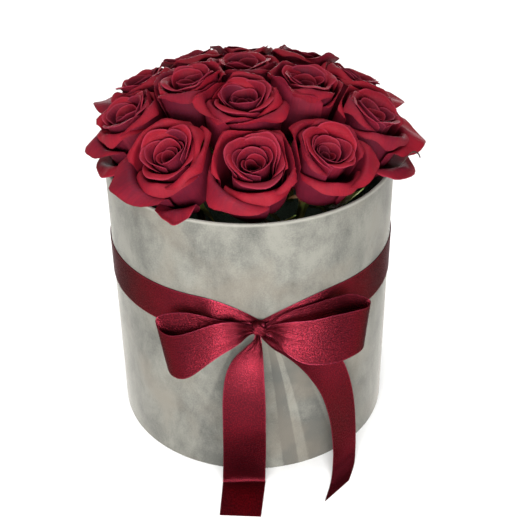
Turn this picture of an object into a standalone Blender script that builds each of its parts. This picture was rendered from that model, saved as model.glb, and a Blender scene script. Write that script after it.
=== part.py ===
"""A round velvet hat box filled with red roses and tied with a satin ribbon bow.

Metres, +Z up. The origin is at the middle of the box's underside and the bow faces -Y. Every
rose is a bloom on a green stem, and the stems stand in holes in a block of floral foam. An
azimuth is counted from the bow's side, -Y, towards +X.
"""

import math

import bmesh
import bpy
import numpy as np
from mathutils import Matrix, Vector

MM = 0.001
GAP = 0.3 * MM  # left between pieces that touch

# The box, a velvet-covered cardboard drum, open at the top
BOX_RADIUS = 90 * MM
BOX_HEIGHT = 185 * MM
BOX_WALL = 2.5 * MM
BOX_BASE = 3 * MM
RIM_CHAMFER = 0.7 * MM
ROUND_SEGMENTS = 48

# The foam block that holds the stems
FOAM_TOP = 150 * MM

# The stems, each with its hip, its sepals and, on a few, a leaf
STEM_RADIUS = 2.4 * MM
STEM_BOTTOM = 92 * MM  # above what the box stands on
STEM_BEND = 8 * MM  # length of each of the two bends below the hip
STEM_LEAN_SHARE = 0.25  # of the bloom's lean, left in its stem below the bends
STEM_SIDES = 5
HIP_RADIUS = 5.2 * MM
HIP_LENGTH = 9 * MM
HIP_SWELL = ((0, 0.8), (2.5 * MM, 1), (6 * MM, 0.8))  # depths, with shares of its radius
SEPALS = 5
SEPAL_ROOT = 2.6 * MM  # from the hip's axis
SEPAL_LENGTH = 21.5 * MM
SEPAL_HALF_WIDTH = 2.4 * MM
SEPAL_TAPER = 0.86
SEPAL_DEPTH = 2.2 * MM  # of its root below the hip's top
SEPAL_ARCH = 1.5 * MM
SEPAL_RISES, SEPAL_BENDS = 20, 75  # degrees above level at its root, and how far it bends down
GREEN_THICKNESS = 0.7 * MM

# The blooms
MOST_LEAN = math.radians(27)
HEART_HEIGHT = 37 * MM  # of the middle of a bloom's face over its hip
HEART_DIP = 3 * MM
PETAL_THICKNESS = 0.8 * MM
CELL_MARGIN = 0.75 * MM  # from a petal's middle surface to the face shared with a neighbour
MEETING_DEPTH = 6 * MM  # below the hearts, where two neighbours share out their room
NEIGHBOURS_WITHIN = 80 * MM
RIM_CLEARANCE = 1.2 * MM  # from a petal's middle surface to the box's rim
NEAR_RIM = 12 * MM  # how far inside the rim a lip is still lifted clear of it
PRESSED = 9 * MM  # how far past its room a petal may reach before it stands up more
LEFT_PROUD = 0.04  # the share of that reach which stays, so that a pressed fold isn't flat
STANDS_UP = (5, 14)  # degrees that the wall and the collar rise on the most squeezed petal
GOLDEN_ANGLE = 137.5
BUD_RADIUS = 7 * MM
BUD_SIDES = 8
CUP_RADIUS = 13 * MM  # of the solid foot that the petals grow from
CUP_HEIGHT = 7 * MM
FOOT_ARC = 19  # mm of a petal over which it turns up from its claw
LAYER_STEP = 1.08 * MM  # from each petal to the next one in, where a neighbour presses them
GUARDS, INNERS = 5, 3  # wide outer petals, and narrower ones round the heart
OPEN_GUARDS = 2  # the outermost, whose lips show the most
OPEN_GRID = 4, (0.17, 0.42, 0.82, 1)  # strips across a petal, and how far up each row is
OTHER_GRID = 3, (0.25, 0.845, 1)
HANGING_GRID = 3, (0.25, 0.56, 0.8, 1)
LINE_STEPS = 32  # in the line up a petal
SCRAP_POINTS = 11  # the most points on a loose scrap that a union may leave
SLIVER = 0.02 * MM  # the longest edge that is taken out after a union

# The ribbon: its band round the box, narrowing to the knot, and the knot itself
RIBBON_WIDTH = 26 * MM
RIBBON_THICKNESS = 0.7 * MM
BAND_MIDDLE = 121 * MM
BAND_AT_KNOT = (114 * MM, 119.5 * MM)
KNOT_AZIMUTH = 3  # degrees
NARROWS_WITHIN = {"left": 24, "right": 32}  # degrees to each side of the knot
KNOT_MIDDLE = Vector((4, -95.6, 118)) * MM
KNOT_SIZE = Vector((13, 9, 15)) * MM
KNOT_ROUNDNESS = 0.85  # 1 is a ball, and less is squarer
SURFACE_CLEARANCE = 0.1 * MM  # between the tails' ends and what the box stands on

# The bow's strips in millimetres, as pairs of points on the ribbon's two edges. A loop runs
# from the knot out along its front, round its end and back behind, and a tail runs from the
# knot down the box and out along the surface.
LOOP_LEFT = (
    ((-2.9, -98.2, 122), (-2.9, -98.8, 115)),
    ((-11, -101, 126.5), (-9, -105, 113)),
    ((-22, -102, 126), (-21, -109, 107)),
    ((-40, -98, 116.5), (-36, -109, 94)),
    ((-50, -92, 111.5), (-44, -105, 89)),
    ((-56.5, -84.5, 112), (-50, -97, 87.5)),
    ((-56, -80.5, 117), (-50.5, -90.5, 92)),
    ((-40, -87, 124), (-38, -91, 99)),
    ((-17, -94, 123), (-16, -95.5, 107)),
    ((-2.9, -94.8, 122), (-2.9, -95.4, 115)),
)
LOOP_RIGHT = (
    ((10.9, -98.2, 122), (10.9, -98.8, 115)),
    ((22, -101, 126), (18, -107, 109.5)),
    ((35, -99.5, 126), (30, -109.5, 102)),
    ((48, -95, 126), (46, -105.5, 98.5)),
    ((61, -88, 124), (58, -98, 97.5)),
    ((69, -80, 121), (66, -88, 96)),
    ((70, -74, 122), (66.5, -78, 96)),
    ((59, -77.5, 128.5), (58, -79, 103)),
    ((48, -83, 130), (47, -86, 106)),
    ((34, -89, 129.5), (33, -92, 108)),
    ((19, -94, 127), (18, -96, 112)),
    ((10.9, -94.8, 122), (10.9, -95.4, 115)),
)
TAIL_LEFT = (
    ((0.6, -96.6, 110.2), (4.8, -96.6, 110.2)),
    ((-5, -99.9, 106.5), (5.5, -99.9, 104.5)),
    ((-12, -103.2, 100.5), (6, -103, 98)),
    ((-16.5, -106.6, 91), (6.5, -106.4, 87)),
    ((-18.5, -109.6, 76), (7, -109.4, 71)),
    ((-19, -109, 55), (7, -108.8, 51)),
    ((-19.5, -105, 30), (7, -104.8, 30)),
    ((-20.3, -102, 9), (6.6, -102, 9)),
    ((-20.6, -102.2, 1.6), (6.4, -102.2, 1.6)),
    ((-20.8, -105, 0.5), (6.2, -105, 0.5)),
    ((-22.3, -129.5, 0.5), (3.2, -131.5, 0.5)),
)
TAIL_RIGHT = (
    ((6.0, -96.0, 110.1), (9.9, -95.2, 112.2)),
    ((12, -96.2, 103), (20, -93.5, 109)),
    ((19, -95.5, 97), (33, -88.5, 104)),
    ((27, -94, 88), (45, -81.5, 94)),
    ((34, -93, 78), (54, -77, 81)),
    ((42, -91.5, 62), (60, -74.5, 64)),
    ((47.5, -90.5, 41), (64, -72, 43)),
    ((50, -91, 20), (66, -72.5, 20)),
    ((50, -94.5, 6), (66, -78, 5)),
    ((48, -104, 0.9), (64.5, -88, 0.9)),
    ((43.3, -120, 0.5), (60, -102, 0.5)),
)

# Leaves that rise from a stem to the rim: each rose's name with its leaf's tip, in millimetres
LEAVES = {"front": (25, -79, 184), "front_right": (66, -54, 187)}
LEAF_HALF_WIDTH = 6.5 * MM
STALK_HALF_WIDTH = 0.7 * MM
STALK_SHARE = 0.35  # of the leaf's length
LEAF_TEETH = 4
TOOTH_DEPTH = 0.22
LEAF_SAG = 6 * MM
LEAF_FOLD = 1.2 * MM
LEAF_ROOT = 12 * MM  # below the hip's top

# Each rose: the azimuth, the distance from the box's axis and the height of its heart, its lean
# away from upright, the turn of its first petal, its size and its openness
ROSES = {
    "front": (2, 67, 214, 27, 312, 1.20, 1.0),
    "front_left": (-40, 73, 214, 27, 325, 1.18, 1.0),
    "front_right": (39, 73, 214, 27, 61, 1.12, 1.0),
    "left": (-84, 75, 216, 26, 1, 1.12, 1.0),
    "right": (79, 77, 217, 25, 28, 1.18, 1.0),
    "back_left": (-117, 76, 218, 24, 15, 1.1, 1.0),
    "back_right": (115, 76, 219, 24, 350, 1.1, 1.0),
    "rear_left": (-147, 70, 222, 22, 20, 1.1, 0.9),
    "rear_right": (149, 69, 223, 22, 260, 1.08, 0.9),
    "rear": (-179, 74, 220, 23, 90, 1.08, 0.9),
    "inner_front": (-7, 26, 233, 10, 275, 1.18, 1.0),
    "inner_right": (86, 35, 233, 9, 230, 1.12, 1.0),
    "inner_left": (-84, 35, 235, 9, 310, 1.05, 1.0),
    "inner_rear": (-174, 26, 232, 6, 172, 1.08, 1.0),
}

# The first guard petal of some roses: how far its lip folds, in degrees, and the length of its
# tail in millimetres
SPREAD = {
    "front_left": (110, 7),
    "front": (150, 5),
    "front_right": (120, 4),
    "left": (115, 4.5),
    "right": (92, 8),
    "back_left": (85, 7),
    "back_right": (85, 7),
    "inner_front": (130, 6),
}
SPREAD_ELSEWHERE = (130, 5)

# A low outermost petal that hangs over the rim beside some roses: its turn, its length up to
# the crest, how steeply it stands, the length of its tail and half its width in degrees
HANGING = {
    "left": (44, 23, 62, 2.5, 62),
    "right": (-30, 23.5, 62, 3.5, 62),
    "front_left": (36, 26, 66, 5, 34),
}

PETAL_RED = (0.30, 0.006, 0.020, 1)
STEM_GREEN = (0.10, 0.18, 0.05, 1)
VELVET_GREY = (0.47, 0.44, 0.39, 1)
FOAM_GREEN = (0.045, 0.085, 0.05, 1)
SATIN_BURGUNDY = (0.17, 0.008, 0.030, 1)


def smooth(x):
    """A soft ramp from zero at 0 to one at 1."""
    x = np.clip(x, 0, 1)
    return x * x * (3 - 2 * x)


def material(name, colour, roughness):
    made = bpy.data.materials.new(name)
    made.use_nodes = True
    shader = made.node_tree.nodes["Principled BSDF"]
    shader.inputs["Base Color"].default_value = colour
    shader.inputs["Roughness"].default_value = roughness
    shader.inputs["Metallic"].default_value = 0
    made.diffuse_color = colour
    return made


def add_object(name, bm, made_of):
    """A bmesh as an object in the scene, shaded smooth except over sharp edges."""
    mesh = bpy.data.meshes.new(name)
    bm.to_mesh(mesh)
    bm.free()
    mesh.materials.append(made_of)
    mesh.shade_smooth()
    mesh.set_sharp_from_angle(angle=math.radians(40))
    obj = bpy.data.objects.new(name, mesh)
    bpy.context.scene.collection.objects.link(obj)
    return obj


def blade(name, surface, across, along, thickness, made_of):
    """A thin solid on a surface of (u, v), with u from -1 to 1 across and v from 0 to 1 along.

    The grid is split into triangles before the Solidify, so that both faces are split alike
    and a waved blade never cuts through itself.
    """
    bm = bmesh.new()
    bmesh.ops.create_grid(bm, x_segments=across, y_segments=along, size=1)
    flat = np.array([vert.co[:] for vert in bm.verts])
    for vert, point in zip(bm.verts, surface(flat[:, 0], (flat[:, 1] + 1) / 2)):
        vert.co = point
    bmesh.ops.triangulate(bm, faces=bm.faces[:])
    obj = add_object(name, bm, made_of)
    solidify = obj.modifiers.new("Thickness", "SOLIDIFY")
    solidify.thickness = thickness
    solidify.offset = 0
    return obj


def turned(name, profile, sides, made_of):
    """A closed solid turned about Z from (radius, height) points, from the top axis point down
    its outer side to the bottom axis point."""
    bm = bmesh.new()
    rings = []
    for radius, height in profile:
        if radius == 0:
            rings.append([bm.verts.new((0, 0, height))])
            continue
        angles = (math.tau * k / sides for k in range(sides))
        ring = [(radius * math.sin(a), -radius * math.cos(a), height) for a in angles]
        rings.append([bm.verts.new(point) for point in ring])
    for upper, lower in zip(rings, rings[1:]):
        for k in range(sides):
            n = (k + 1) % sides
            corners = (upper[k % len(upper)], lower[k % len(lower)])
            others = (lower[n % len(lower)], upper[n % len(upper)])
            bm.faces.new(list(dict.fromkeys(corners + others)))
    bmesh.ops.recalc_face_normals(bm, faces=bm.faces[:])
    return add_object(name, bm, made_of)


def fuse(obj, others, operation="UNION", solver="EXACT"):
    """Joins the other objects to this one, or cuts them from it, and then removes them."""
    group = bpy.data.collections.new("operands")
    bpy.context.scene.collection.children.link(group)
    for other in others:
        group.objects.link(other)
    boolean = obj.modifiers.new("Boolean", "BOOLEAN")
    boolean.operation = operation
    boolean.solver = solver
    boolean.operand_type = "COLLECTION"
    boolean.collection = group
    bpy.context.view_layer.update()
    made = bpy.data.meshes.new_from_object(obj.evaluated_get(bpy.context.evaluated_depsgraph_get()))
    obj.modifiers.clear()
    obj.data = made
    made.name = obj.name
    for other in others:
        bpy.data.objects.remove(other)
    bpy.data.collections.remove(group)


def keep_largest(obj):
    """Drops the loose scraps that a union can leave beside the piece, and no more than scraps."""
    bm = bmesh.new()
    bm.from_mesh(obj.data)
    left = set(bm.verts)
    bodies = []
    while left:
        body, edge = set(), [left.pop()]
        while edge:
            vert = edge.pop()
            body.add(vert)
            linked = {e.other_vert(vert) for e in vert.link_edges} & left
            left -= linked
            edge.extend(linked)
        bodies.append(body)
    bodies.sort(key=len)
    if len(bodies) > 1 and len(bodies[-2]) > SCRAP_POINTS:
        raise ValueError(f"{obj.name} holds a piece that the union left apart")
    for body in bodies[:-1]:
        bmesh.ops.delete(bm, geom=list(body), context="VERTS")
    bmesh.ops.dissolve_degenerate(bm, dist=SLIVER, edges=bm.edges[:])
    bmesh.ops.triangulate(bm, faces=bm.faces[:])
    bm.to_mesh(obj.data)
    bm.free()


class Rose:
    """Where one rose stands: its frame, with the hip's top at the origin and Z up the bloom."""

    def __init__(self, name, azimuth, radius, height, lean, turn, size, openness):
        self.name = name
        self.turn = turn
        self.size = size
        self.openness = openness
        a, tilt = math.radians(azimuth), math.radians(lean)
        self.radial = Vector((math.sin(a), -math.cos(a), 0))
        self.side = Vector((math.cos(a), math.sin(a), 0))
        self.tilt = tilt
        axis = self.leaning(1)
        heart = self.radial * radius * MM + Vector((0, 0, height * MM))
        self.hip = heart - axis * HEART_HEIGHT * size
        self.middle = heart - axis * MEETING_DEPTH
        turned_to = Matrix((self.side, axis.cross(self.side), axis)).transposed()
        self.frame = Matrix.Translation(self.hip) @ turned_to.to_4x4()
        self.faces = []

    def leaning(self, share):
        """A direction that leans outwards by this share of the bloom's lean."""
        angle = self.tilt * share
        return self.radial * math.sin(angle) + Vector((0, 0, math.cos(angle)))

    def meet(self, other):
        """Shares out the room between two roses with a plane, nearer to the smaller one."""
        apart = other.middle - self.middle
        share = self.size / (self.size + other.size)
        self.faces.append((self.middle + apart * share, apart.normalized()))

    def place(self, points):
        """Points of the rose's own frame as world points."""
        return points @ np.array(self.frame.to_3x3()).T + np.array(self.hip)

    def overrun(self, points):
        """How far the farthest of these points reaches past the rose's room."""
        over = [-1.0]
        for at, normal in self.faces:
            over.append(((points - np.array(at)) @ np.array(normal)).max() + CELL_MARGIN)
        reach = np.hypot(points[:, 0], points[:, 1])
        beside_wall = reach > BOX_RADIUS - BOX_WALL - RIM_CLEARANCE
        if beside_wall.any():
            over.append(BOX_HEIGHT + RIM_CLEARANCE - points[beside_wall, 2].min())
        return max(over)

    def pressed(self, points, layer, lip):
        """The points, those past the rose's room laid along its faces, the outer layers last.

        The points of a lip are lifted clear of the box's rim, and the others stay inside it.
        """
        points = points.copy()
        margin = CELL_MARGIN + layer * LAYER_STEP
        for at, normal in self.faces:
            normal = np.array(normal)
            over = np.maximum(0, (points - np.array(at)) @ normal + margin)
            points -= (over * (1 - LEFT_PROUD))[:, None] * normal
        reach = np.hypot(points[:, 0], points[:, 1])
        inside = BOX_RADIUS - BOX_WALL - RIM_CLEARANCE
        above = points[:, 2] > BOX_HEIGHT + RIM_CLEARANCE
        in_box = (reach > inside) & ~above & ~lip
        points[in_box, :2] *= (inside / reach[in_box])[:, None]
        over_rim = (reach > inside - NEAR_RIM) & lip
        points[over_rim, 2] = np.maximum(points[over_rim, 2], BOX_HEIGHT + RIM_CLEARANCE)
        return points


def petal_surface(petal, u, v):
    """Points of a petal in its rose's frame, for u across and v from the claw to the lip.

    The line up the petal is integrated from the angle at which it climbs: it leans out from
    the hip, stands up as the cup's wall and folds out and down past its crest, lower at the
    sides. Each petal lies a little inside the one before it.
    """
    sides = np.abs(u)
    length = petal["crest"] + petal["bend"] + petal["tail"]
    tip = petal["tip"] * np.exp(-((u / 0.3) ** 2))
    rise = v * (1 + tip - petal["shoulder"] * sides ** petal["squareness"])
    steps = np.linspace(0, 1, LINE_STEPS + 1)[:, None]
    arc = steps * rise * length
    climb = petal["foot"] + (petal["wall"] - petal["foot"]) * smooth(arc / FOOT_ARC)
    climb = climb + (petal["collar"] - petal["wall"]) * smooth((arc - FOOT_ARC) / FOOT_ARC)
    crest = petal["crest"] - petal["side_drop"] * sides**1.6
    climb = np.radians(climb - petal["fold"] * smooth((arc - crest) / petal["bend"]))
    run = rise * length / LINE_STEPS
    out, up = np.cos(climb), np.sin(climb)
    r = petal["start"] + (out.sum(0) - 0.5 * (out[0] + out[-1])) * run
    z = petal["base"] + (up.sum(0) - 0.5 * (up[0] + up[-1])) * run
    r = r + petal["swell"] * smooth(rise / 0.3)
    spread = np.minimum(1, petal["cup"] / np.maximum(r, 1)) ** 0.8
    widen = petal["claw"] + (1 - petal["claw"]) * smooth(rise / 0.5)
    angle = np.radians(petal["turn"] + petal["half_angle"] * u * widen * spread)
    lip = smooth((rise * length - crest) / petal["bend"])
    r = r + petal["roll"] * smooth((sides - 0.5) / 0.5) * lip
    waved = petal["wave"] * smooth((rise - 0.5) / 0.5)
    phase = petal["phase"]
    r = r + waved * np.sin(3.1 * u + phase)
    z = z + waved * np.sin(4.7 * u + 1.7 * phase)
    return np.stack([r * np.sin(angle), -r * np.cos(angle), z], axis=-1) * MM


def guard_petal(rose, k, draw):
    """The k-th of the wide outer petals. Its lip folds out, and the first one's the farthest."""
    turn = rose.turn + GOLDEN_ANGLE * k + draw(6)
    droop = max(0, math.cos(math.radians(turn))) * rose.tilt / MOST_LEAN
    fold, tail = SPREAD.get(rose.name, SPREAD_ELSEWHERE) if k == 0 else (142, 2.6)
    return {
        "turn": turn, "start": 4.6, "base": 1.2, "swell": 4.4 - 1.3 * k,
        "foot": 31, "wall": 84, "collar": 88,
        "crest": 39 + 0.4 * k - (9.5 - 1.2 * k) * droop + draw(0.4),
        "bend": 6 if k == 0 else 4.6, "fold": fold + draw(6), "tail": tail,
        "side_drop": 4.5, "shoulder": 0.26 if k == 0 else 0.2, "squareness": 2.1,
        "cup": 19.5 - 1.3 * k, "half_angle": 70, "claw": 0.5,
        "roll": 1.2, "wave": 0.5, "phase": draw(3), "tip": 0.07,
    }  # fmt: skip


def hanging_petal(rose):
    """The low petal outside the others, which leans out and hangs over the rim."""
    turn, crest, wall, tail, half_angle = HANGING[rose.name]
    return {
        "turn": turn, "start": 4.6, "base": 1.2, "swell": 4.4,
        "foot": 31, "wall": wall, "collar": wall - 4, "crest": crest, "bend": 6, "fold": 75,
        "tail": tail, "side_drop": 3, "shoulder": 0.26, "squareness": 2, "cup": 21,
        "half_angle": half_angle, "claw": 0.5, "roll": 1.2, "wave": 0.7, "phase": 1,
        "tip": 0.12,
    }  # fmt: skip


def inner_petal(rose, k, draw):
    """The k-th of the narrower petals that stand round the heart."""
    turn = rose.turn + 60 + GOLDEN_ANGLE * k + draw(7)
    droop = max(0, math.cos(math.radians(turn))) * rose.tilt / MOST_LEAN
    return {
        "turn": turn, "start": 4.4, "base": 2, "swell": -2.8 - 1.5 * k,
        "foot": 33, "wall": 84, "collar": 88,
        "crest": 38.5 - 0.6 * k - (3.5 - k) * droop, "bend": 5, "fold": 88 - 16 * k + draw(8),
        "tail": 0.6, "side_drop": 2.2, "shoulder": 0.16, "squareness": 2.6,
        "cup": 12.8 - 1.5 * k, "half_angle": 68, "claw": 0.6,
        "roll": 0.5, "wave": 0.3, "phase": draw(3), "tip": 0.02,
    }  # fmt: skip


def fitted(rose, petal, grow):
    """The petal, stood up and drawn in until little of it is left past its rose's room."""
    edge = np.linspace(-1, 1, 9)
    u, v = (a.ravel() for a in np.meshgrid(edge, np.linspace(0.3, 1, 9)))
    for squeeze in np.linspace(0, 1, 21):
        tried = dict(petal)
        opened = rose.openness * (1 - squeeze)
        tried["fold"] = petal["fold"] * (0.12 + 0.88 * opened)
        tried["wall"] = petal["wall"] + STANDS_UP[0] * squeeze
        tried["collar"] = petal["collar"] + STANDS_UP[1] * squeeze
        tried["tail"] = petal["tail"] * opened**2
        tried["roll"] = petal["roll"] * opened
        if rose.overrun(rose.place(petal_surface(tried, u, v) * grow)) <= PRESSED:
            break
    return tried


def petals_of(rose):
    """The petals of one rose, fitted to its room, each as its layer, its grid and its shape."""
    random = np.random.default_rng(int(rose.turn) + 7)

    def draw(most):
        return float(random.uniform(-most, most))

    shapes = [guard_petal(rose, k, draw) for k in range(GUARDS)]
    shapes += [inner_petal(rose, k, draw) for k in range(INNERS)]
    petals = [(k, OPEN_GRID if k < OPEN_GUARDS else OTHER_GRID, shape)
              for k, shape in enumerate(shapes)]  # fmt: skip
    if rose.name in HANGING:
        petals.append((0, HANGING_GRID, hanging_petal(rose)))
    return [(layer, grid, fitted(rose, shape, rose.size)) for layer, grid, shape in petals]


def make_bloom(rose, red):
    """The bud with its petals in their layers, one body."""
    bud_profile = [
        (0, HEART_HEIGHT - HEART_DIP), (BUD_RADIUS * 0.75, HEART_HEIGHT),
        (BUD_RADIUS, HEART_HEIGHT * 0.6),
        (CUP_RADIUS, CUP_HEIGHT), (HIP_RADIUS, GAP), (0, GAP),
    ]  # fmt: skip
    bloom = turned(f"bloom_{rose.name}", bud_profile, BUD_SIDES, red)
    bloom.data.transform(rose.frame @ Matrix.Scale(rose.size, 4))
    petals = []
    for layer, (across, rows), petal in petals_of(rose):

        def surface(u, v, petal=petal, rows=rows, layer=layer):
            v = np.interp(v, np.linspace(0, 1, len(rows)), rows)
            placed = rose.place(petal_surface(petal, u, v) * rose.size)
            return rose.pressed(placed, layer, v > 0.5)

        name = f"petal_{rose.name}_{len(petals)}"
        petals.append(blade(name, surface, across, len(rows) - 1, PETAL_THICKNESS, red))
    fuse(bloom, petals, solver="MANIFOLD")
    keep_largest(bloom)
    return bloom


def sepal_surface(rose, turn, length):
    """A sepal's middle surface: a tapering blade that leaves the hip and bends down."""

    def surface(u, v):
        bend = np.radians(SEPAL_RISES - SEPAL_BENDS * v)
        r = SEPAL_ROOT + length * v * np.cos(bend / 2)
        z = length * v * np.sin(bend / 2) - SEPAL_DEPTH - SEPAL_ARCH * np.abs(u) * (1 - v)
        half = SEPAL_HALF_WIDTH * (1 - SEPAL_TAPER * v) * u
        c, s = math.cos(turn), math.sin(turn)
        return rose.place(np.stack([r * s + half * c, -r * c + half * s, z], axis=-1))

    return surface


def leaf_surface(rose, tip):
    """A leaf's middle surface: a narrow stalk that opens into a toothed, pointed blade."""
    root = rose.hip - (rose.frame.to_3x3() @ Vector((0, 0, LEAF_ROOT)))
    along = Vector(tip) * MM - root
    across = along.cross(Vector((0, 0, 1))).normalized()
    up = across.cross(along).normalized()

    def surface(u, v):
        swell = np.sin(np.pi * smooth((v - STALK_SHARE) / (1 - STALK_SHARE)) ** 0.8)
        teeth = 1 + TOOTH_DEPTH * np.cos(math.tau * LEAF_TEETH * v)
        half = (STALK_HALF_WIDTH + LEAF_HALF_WIDTH * swell * teeth) * u
        rise = LEAF_FOLD * np.abs(u) * swell - LEAF_SAG * np.sin(np.pi * v)
        ahead = np.outer(v, along) + np.outer(half, across)
        return np.array(root) + ahead + np.outer(rise, up)

    return surface


def stem_path(rose):
    """(point, radius) pairs down a stem: the hip, two bends and the straight foot."""
    axis = rose.leaning(1)
    path = [(rose.hip - axis * down, HIP_RADIUS * share) for down, share in HIP_SWELL]
    path.append((rose.hip - axis * HIP_LENGTH, STEM_RADIUS))
    for share in (0.5 + STEM_LEAN_SHARE / 2, STEM_LEAN_SHARE):
        path.append((path[-1][0] - rose.leaning(share) * STEM_BEND, STEM_RADIUS))
    foot = rose.leaning(STEM_LEAN_SHARE)
    reach = (path[-1][0].z - STEM_BOTTOM) / foot.z
    path.append((path[-1][0] - foot * reach, STEM_RADIUS))
    return path


def make_tube(name, rose, path, made_of):
    """A closed tube along a path in the upright plane that a rose leans in."""
    bm = bmesh.new()
    rings = []
    for k, (point, radius) in enumerate(path):
        before, after = path[max(k - 1, 0)][0], path[min(k + 1, len(path) - 1)][0]
        other = (before - after).normalized().cross(rose.side)
        angles = (math.tau * j / STEM_SIDES for j in range(STEM_SIDES))
        ring = [point + radius * (rose.side * math.cos(a) + other * math.sin(a)) for a in angles]
        rings.append([bm.verts.new(corner) for corner in ring])
    for upper, lower in zip(rings, rings[1:]):
        for j in range(STEM_SIDES):
            n = (j + 1) % STEM_SIDES
            bm.faces.new((upper[j], lower[j], lower[n], upper[n]))
    bm.faces.new(rings[0])
    bm.faces.new(reversed(rings[-1]))
    bmesh.ops.recalc_face_normals(bm, faces=bm.faces[:])
    return add_object(name, bm, made_of)


def make_stem(rose, green):
    """A stem with its swollen hip, the sepals round it and on some a leaf, one body."""
    stem = make_tube(f"stem_{rose.name}", rose, stem_path(rose), green)
    edge = np.linspace(-1, 1, 3)
    u, v = (a.ravel() for a in np.meshgrid(edge, np.linspace(0.1, 1, 5)))
    added = []
    for k in range(SEPALS):
        turn = math.radians(rose.turn + 36) + math.tau * k / SEPALS
        for share in np.linspace(1, 0.3, 8):
            surface = sepal_surface(rose, turn, SEPAL_LENGTH * share)
            if rose.overrun(surface(u, v)) <= 0:
                break
        name = f"sepal_{rose.name}_{k}"
        added.append(blade(name, surface, 1, 2, GREEN_THICKNESS, green))
    if rose.name in LEAVES:
        surface = leaf_surface(rose, LEAVES[rose.name])
        name = f"leaf_{rose.name}"
        added.append(blade(name, surface, 2, 3 * LEAF_TEETH, GREEN_THICKNESS, green))
    fuse(stem, added, solver="MANIFOLD")
    keep_largest(stem)
    return stem


def make_box(velvet):
    """The drum: a thin wall, a base and a softened rim."""
    inside = BOX_RADIUS - BOX_WALL
    profile = [
        (0, BOX_BASE), (inside, BOX_BASE), (inside, BOX_HEIGHT - RIM_CHAMFER),
        (inside + RIM_CHAMFER, BOX_HEIGHT), (BOX_RADIUS - RIM_CHAMFER, BOX_HEIGHT),
        (BOX_RADIUS, BOX_HEIGHT - RIM_CHAMFER), (BOX_RADIUS, RIM_CHAMFER),
        (BOX_RADIUS - RIM_CHAMFER, 0), (0, 0),
    ]  # fmt: skip
    return turned("box", profile, ROUND_SEGMENTS, velvet)


def make_foam(roses, foam):
    """The block of floral foam, with a hole for each stem."""
    radius = BOX_RADIUS - BOX_WALL - GAP
    bottom = BOX_BASE + GAP
    block = turned("foam", [(0, FOAM_TOP), (radius, FOAM_TOP), (radius, bottom), (0, bottom)],
                   ROUND_SEGMENTS, foam)  # fmt: skip
    holes = []
    for rose in roses:
        path = [(point, STEM_RADIUS + GAP) for point, _ in stem_path(rose)[len(HIP_SWELL):]]
        path[-1] = (path[-1][0] - Vector((0, 0, GAP)), path[-1][1])
        holes.append(make_tube(f"hole_{rose.name}", rose, path, foam))
    fuse(block, holes, "DIFFERENCE")
    return block


def band_edges(azimuth):
    """The heights of the band's lower and upper edge at an azimuth, narrowing to the knot."""
    off = (azimuth - KNOT_AZIMUTH + 180) % 360 - 180
    full = min(1, abs(off) / NARROWS_WITHIN["right" if off > 0 else "left"])
    full = full * (2 - full)
    edges = zip(BAND_AT_KNOT, (-RIBBON_WIDTH / 2, RIBBON_WIDTH / 2))
    return [at_knot + (BAND_MIDDLE + half - at_knot) * full for at_knot, half in edges]


def make_band(satin):
    """The ribbon's closed band round the box, faceted with the box so that its gap is even."""
    inside = BOX_RADIUS + GAP
    outside = inside + RIBBON_THICKNESS
    bm = bmesh.new()
    rings = []
    for k in range(ROUND_SEGMENTS):
        a = math.tau * k / ROUND_SEGMENTS
        low, high = band_edges(math.degrees(a))
        section = ((inside, low), (outside, low), (outside, high), (inside, high))
        rings.append([bm.verts.new((r * math.sin(a), -r * math.cos(a), z)) for r, z in section])
    for ring, following in zip(rings, rings[1:] + rings[:1]):
        for j in range(4):
            n = (j + 1) % 4
            bm.faces.new((ring[j], following[j], following[n], ring[n]))
    bmesh.ops.recalc_face_normals(bm, faces=bm.faces[:])
    return add_object("ribbon_band", bm, satin)


def through(points, t):
    """A smooth curve through evenly timed points, read at each t from 0 to 1."""
    points = np.array(points, float)
    ends = np.vstack([2 * points[0] - points[1], points, 2 * points[-1] - points[-2]])
    place = t * (len(points) - 1)
    k = np.minimum(place.astype(int), len(points) - 2)
    f = (place - k)[:, None]
    a, b, c, d = (ends[k + j] for j in range(4))
    return b + 0.5 * f * (c - a + f * (2 * a - 5 * b + 4 * c - d + f * (3 * (b - c) + d - a)))


def make_strip(name, edges, along, satin):
    """A length of ribbon between two edges."""
    first = [pair[0] for pair in edges]
    second = [pair[1] for pair in edges]

    def surface(u, v):
        side = ((1 + u) / 2)[:, None]
        points = (through(first, v) * (1 - side) + through(second, v) * side) * MM
        points[:, 2] = np.maximum(points[:, 2], RIBBON_THICKNESS / 2 + SURFACE_CLEARANCE)
        return points

    return blade(name, surface, 2, along, RIBBON_THICKNESS, satin)


def make_knot(satin):
    """The knot, a rounded lump with flattened sides."""
    bm = bmesh.new()
    bmesh.ops.create_uvsphere(bm, u_segments=12, v_segments=8, radius=1)
    for vert in bm.verts:
        square = [math.copysign(abs(c) ** KNOT_ROUNDNESS, c) for c in vert.co]
        vert.co = Vector(c * size / 2 for c, size in zip(square, KNOT_SIZE)) + KNOT_MIDDLE
    return add_object("bow_knot", bm, satin)


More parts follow.
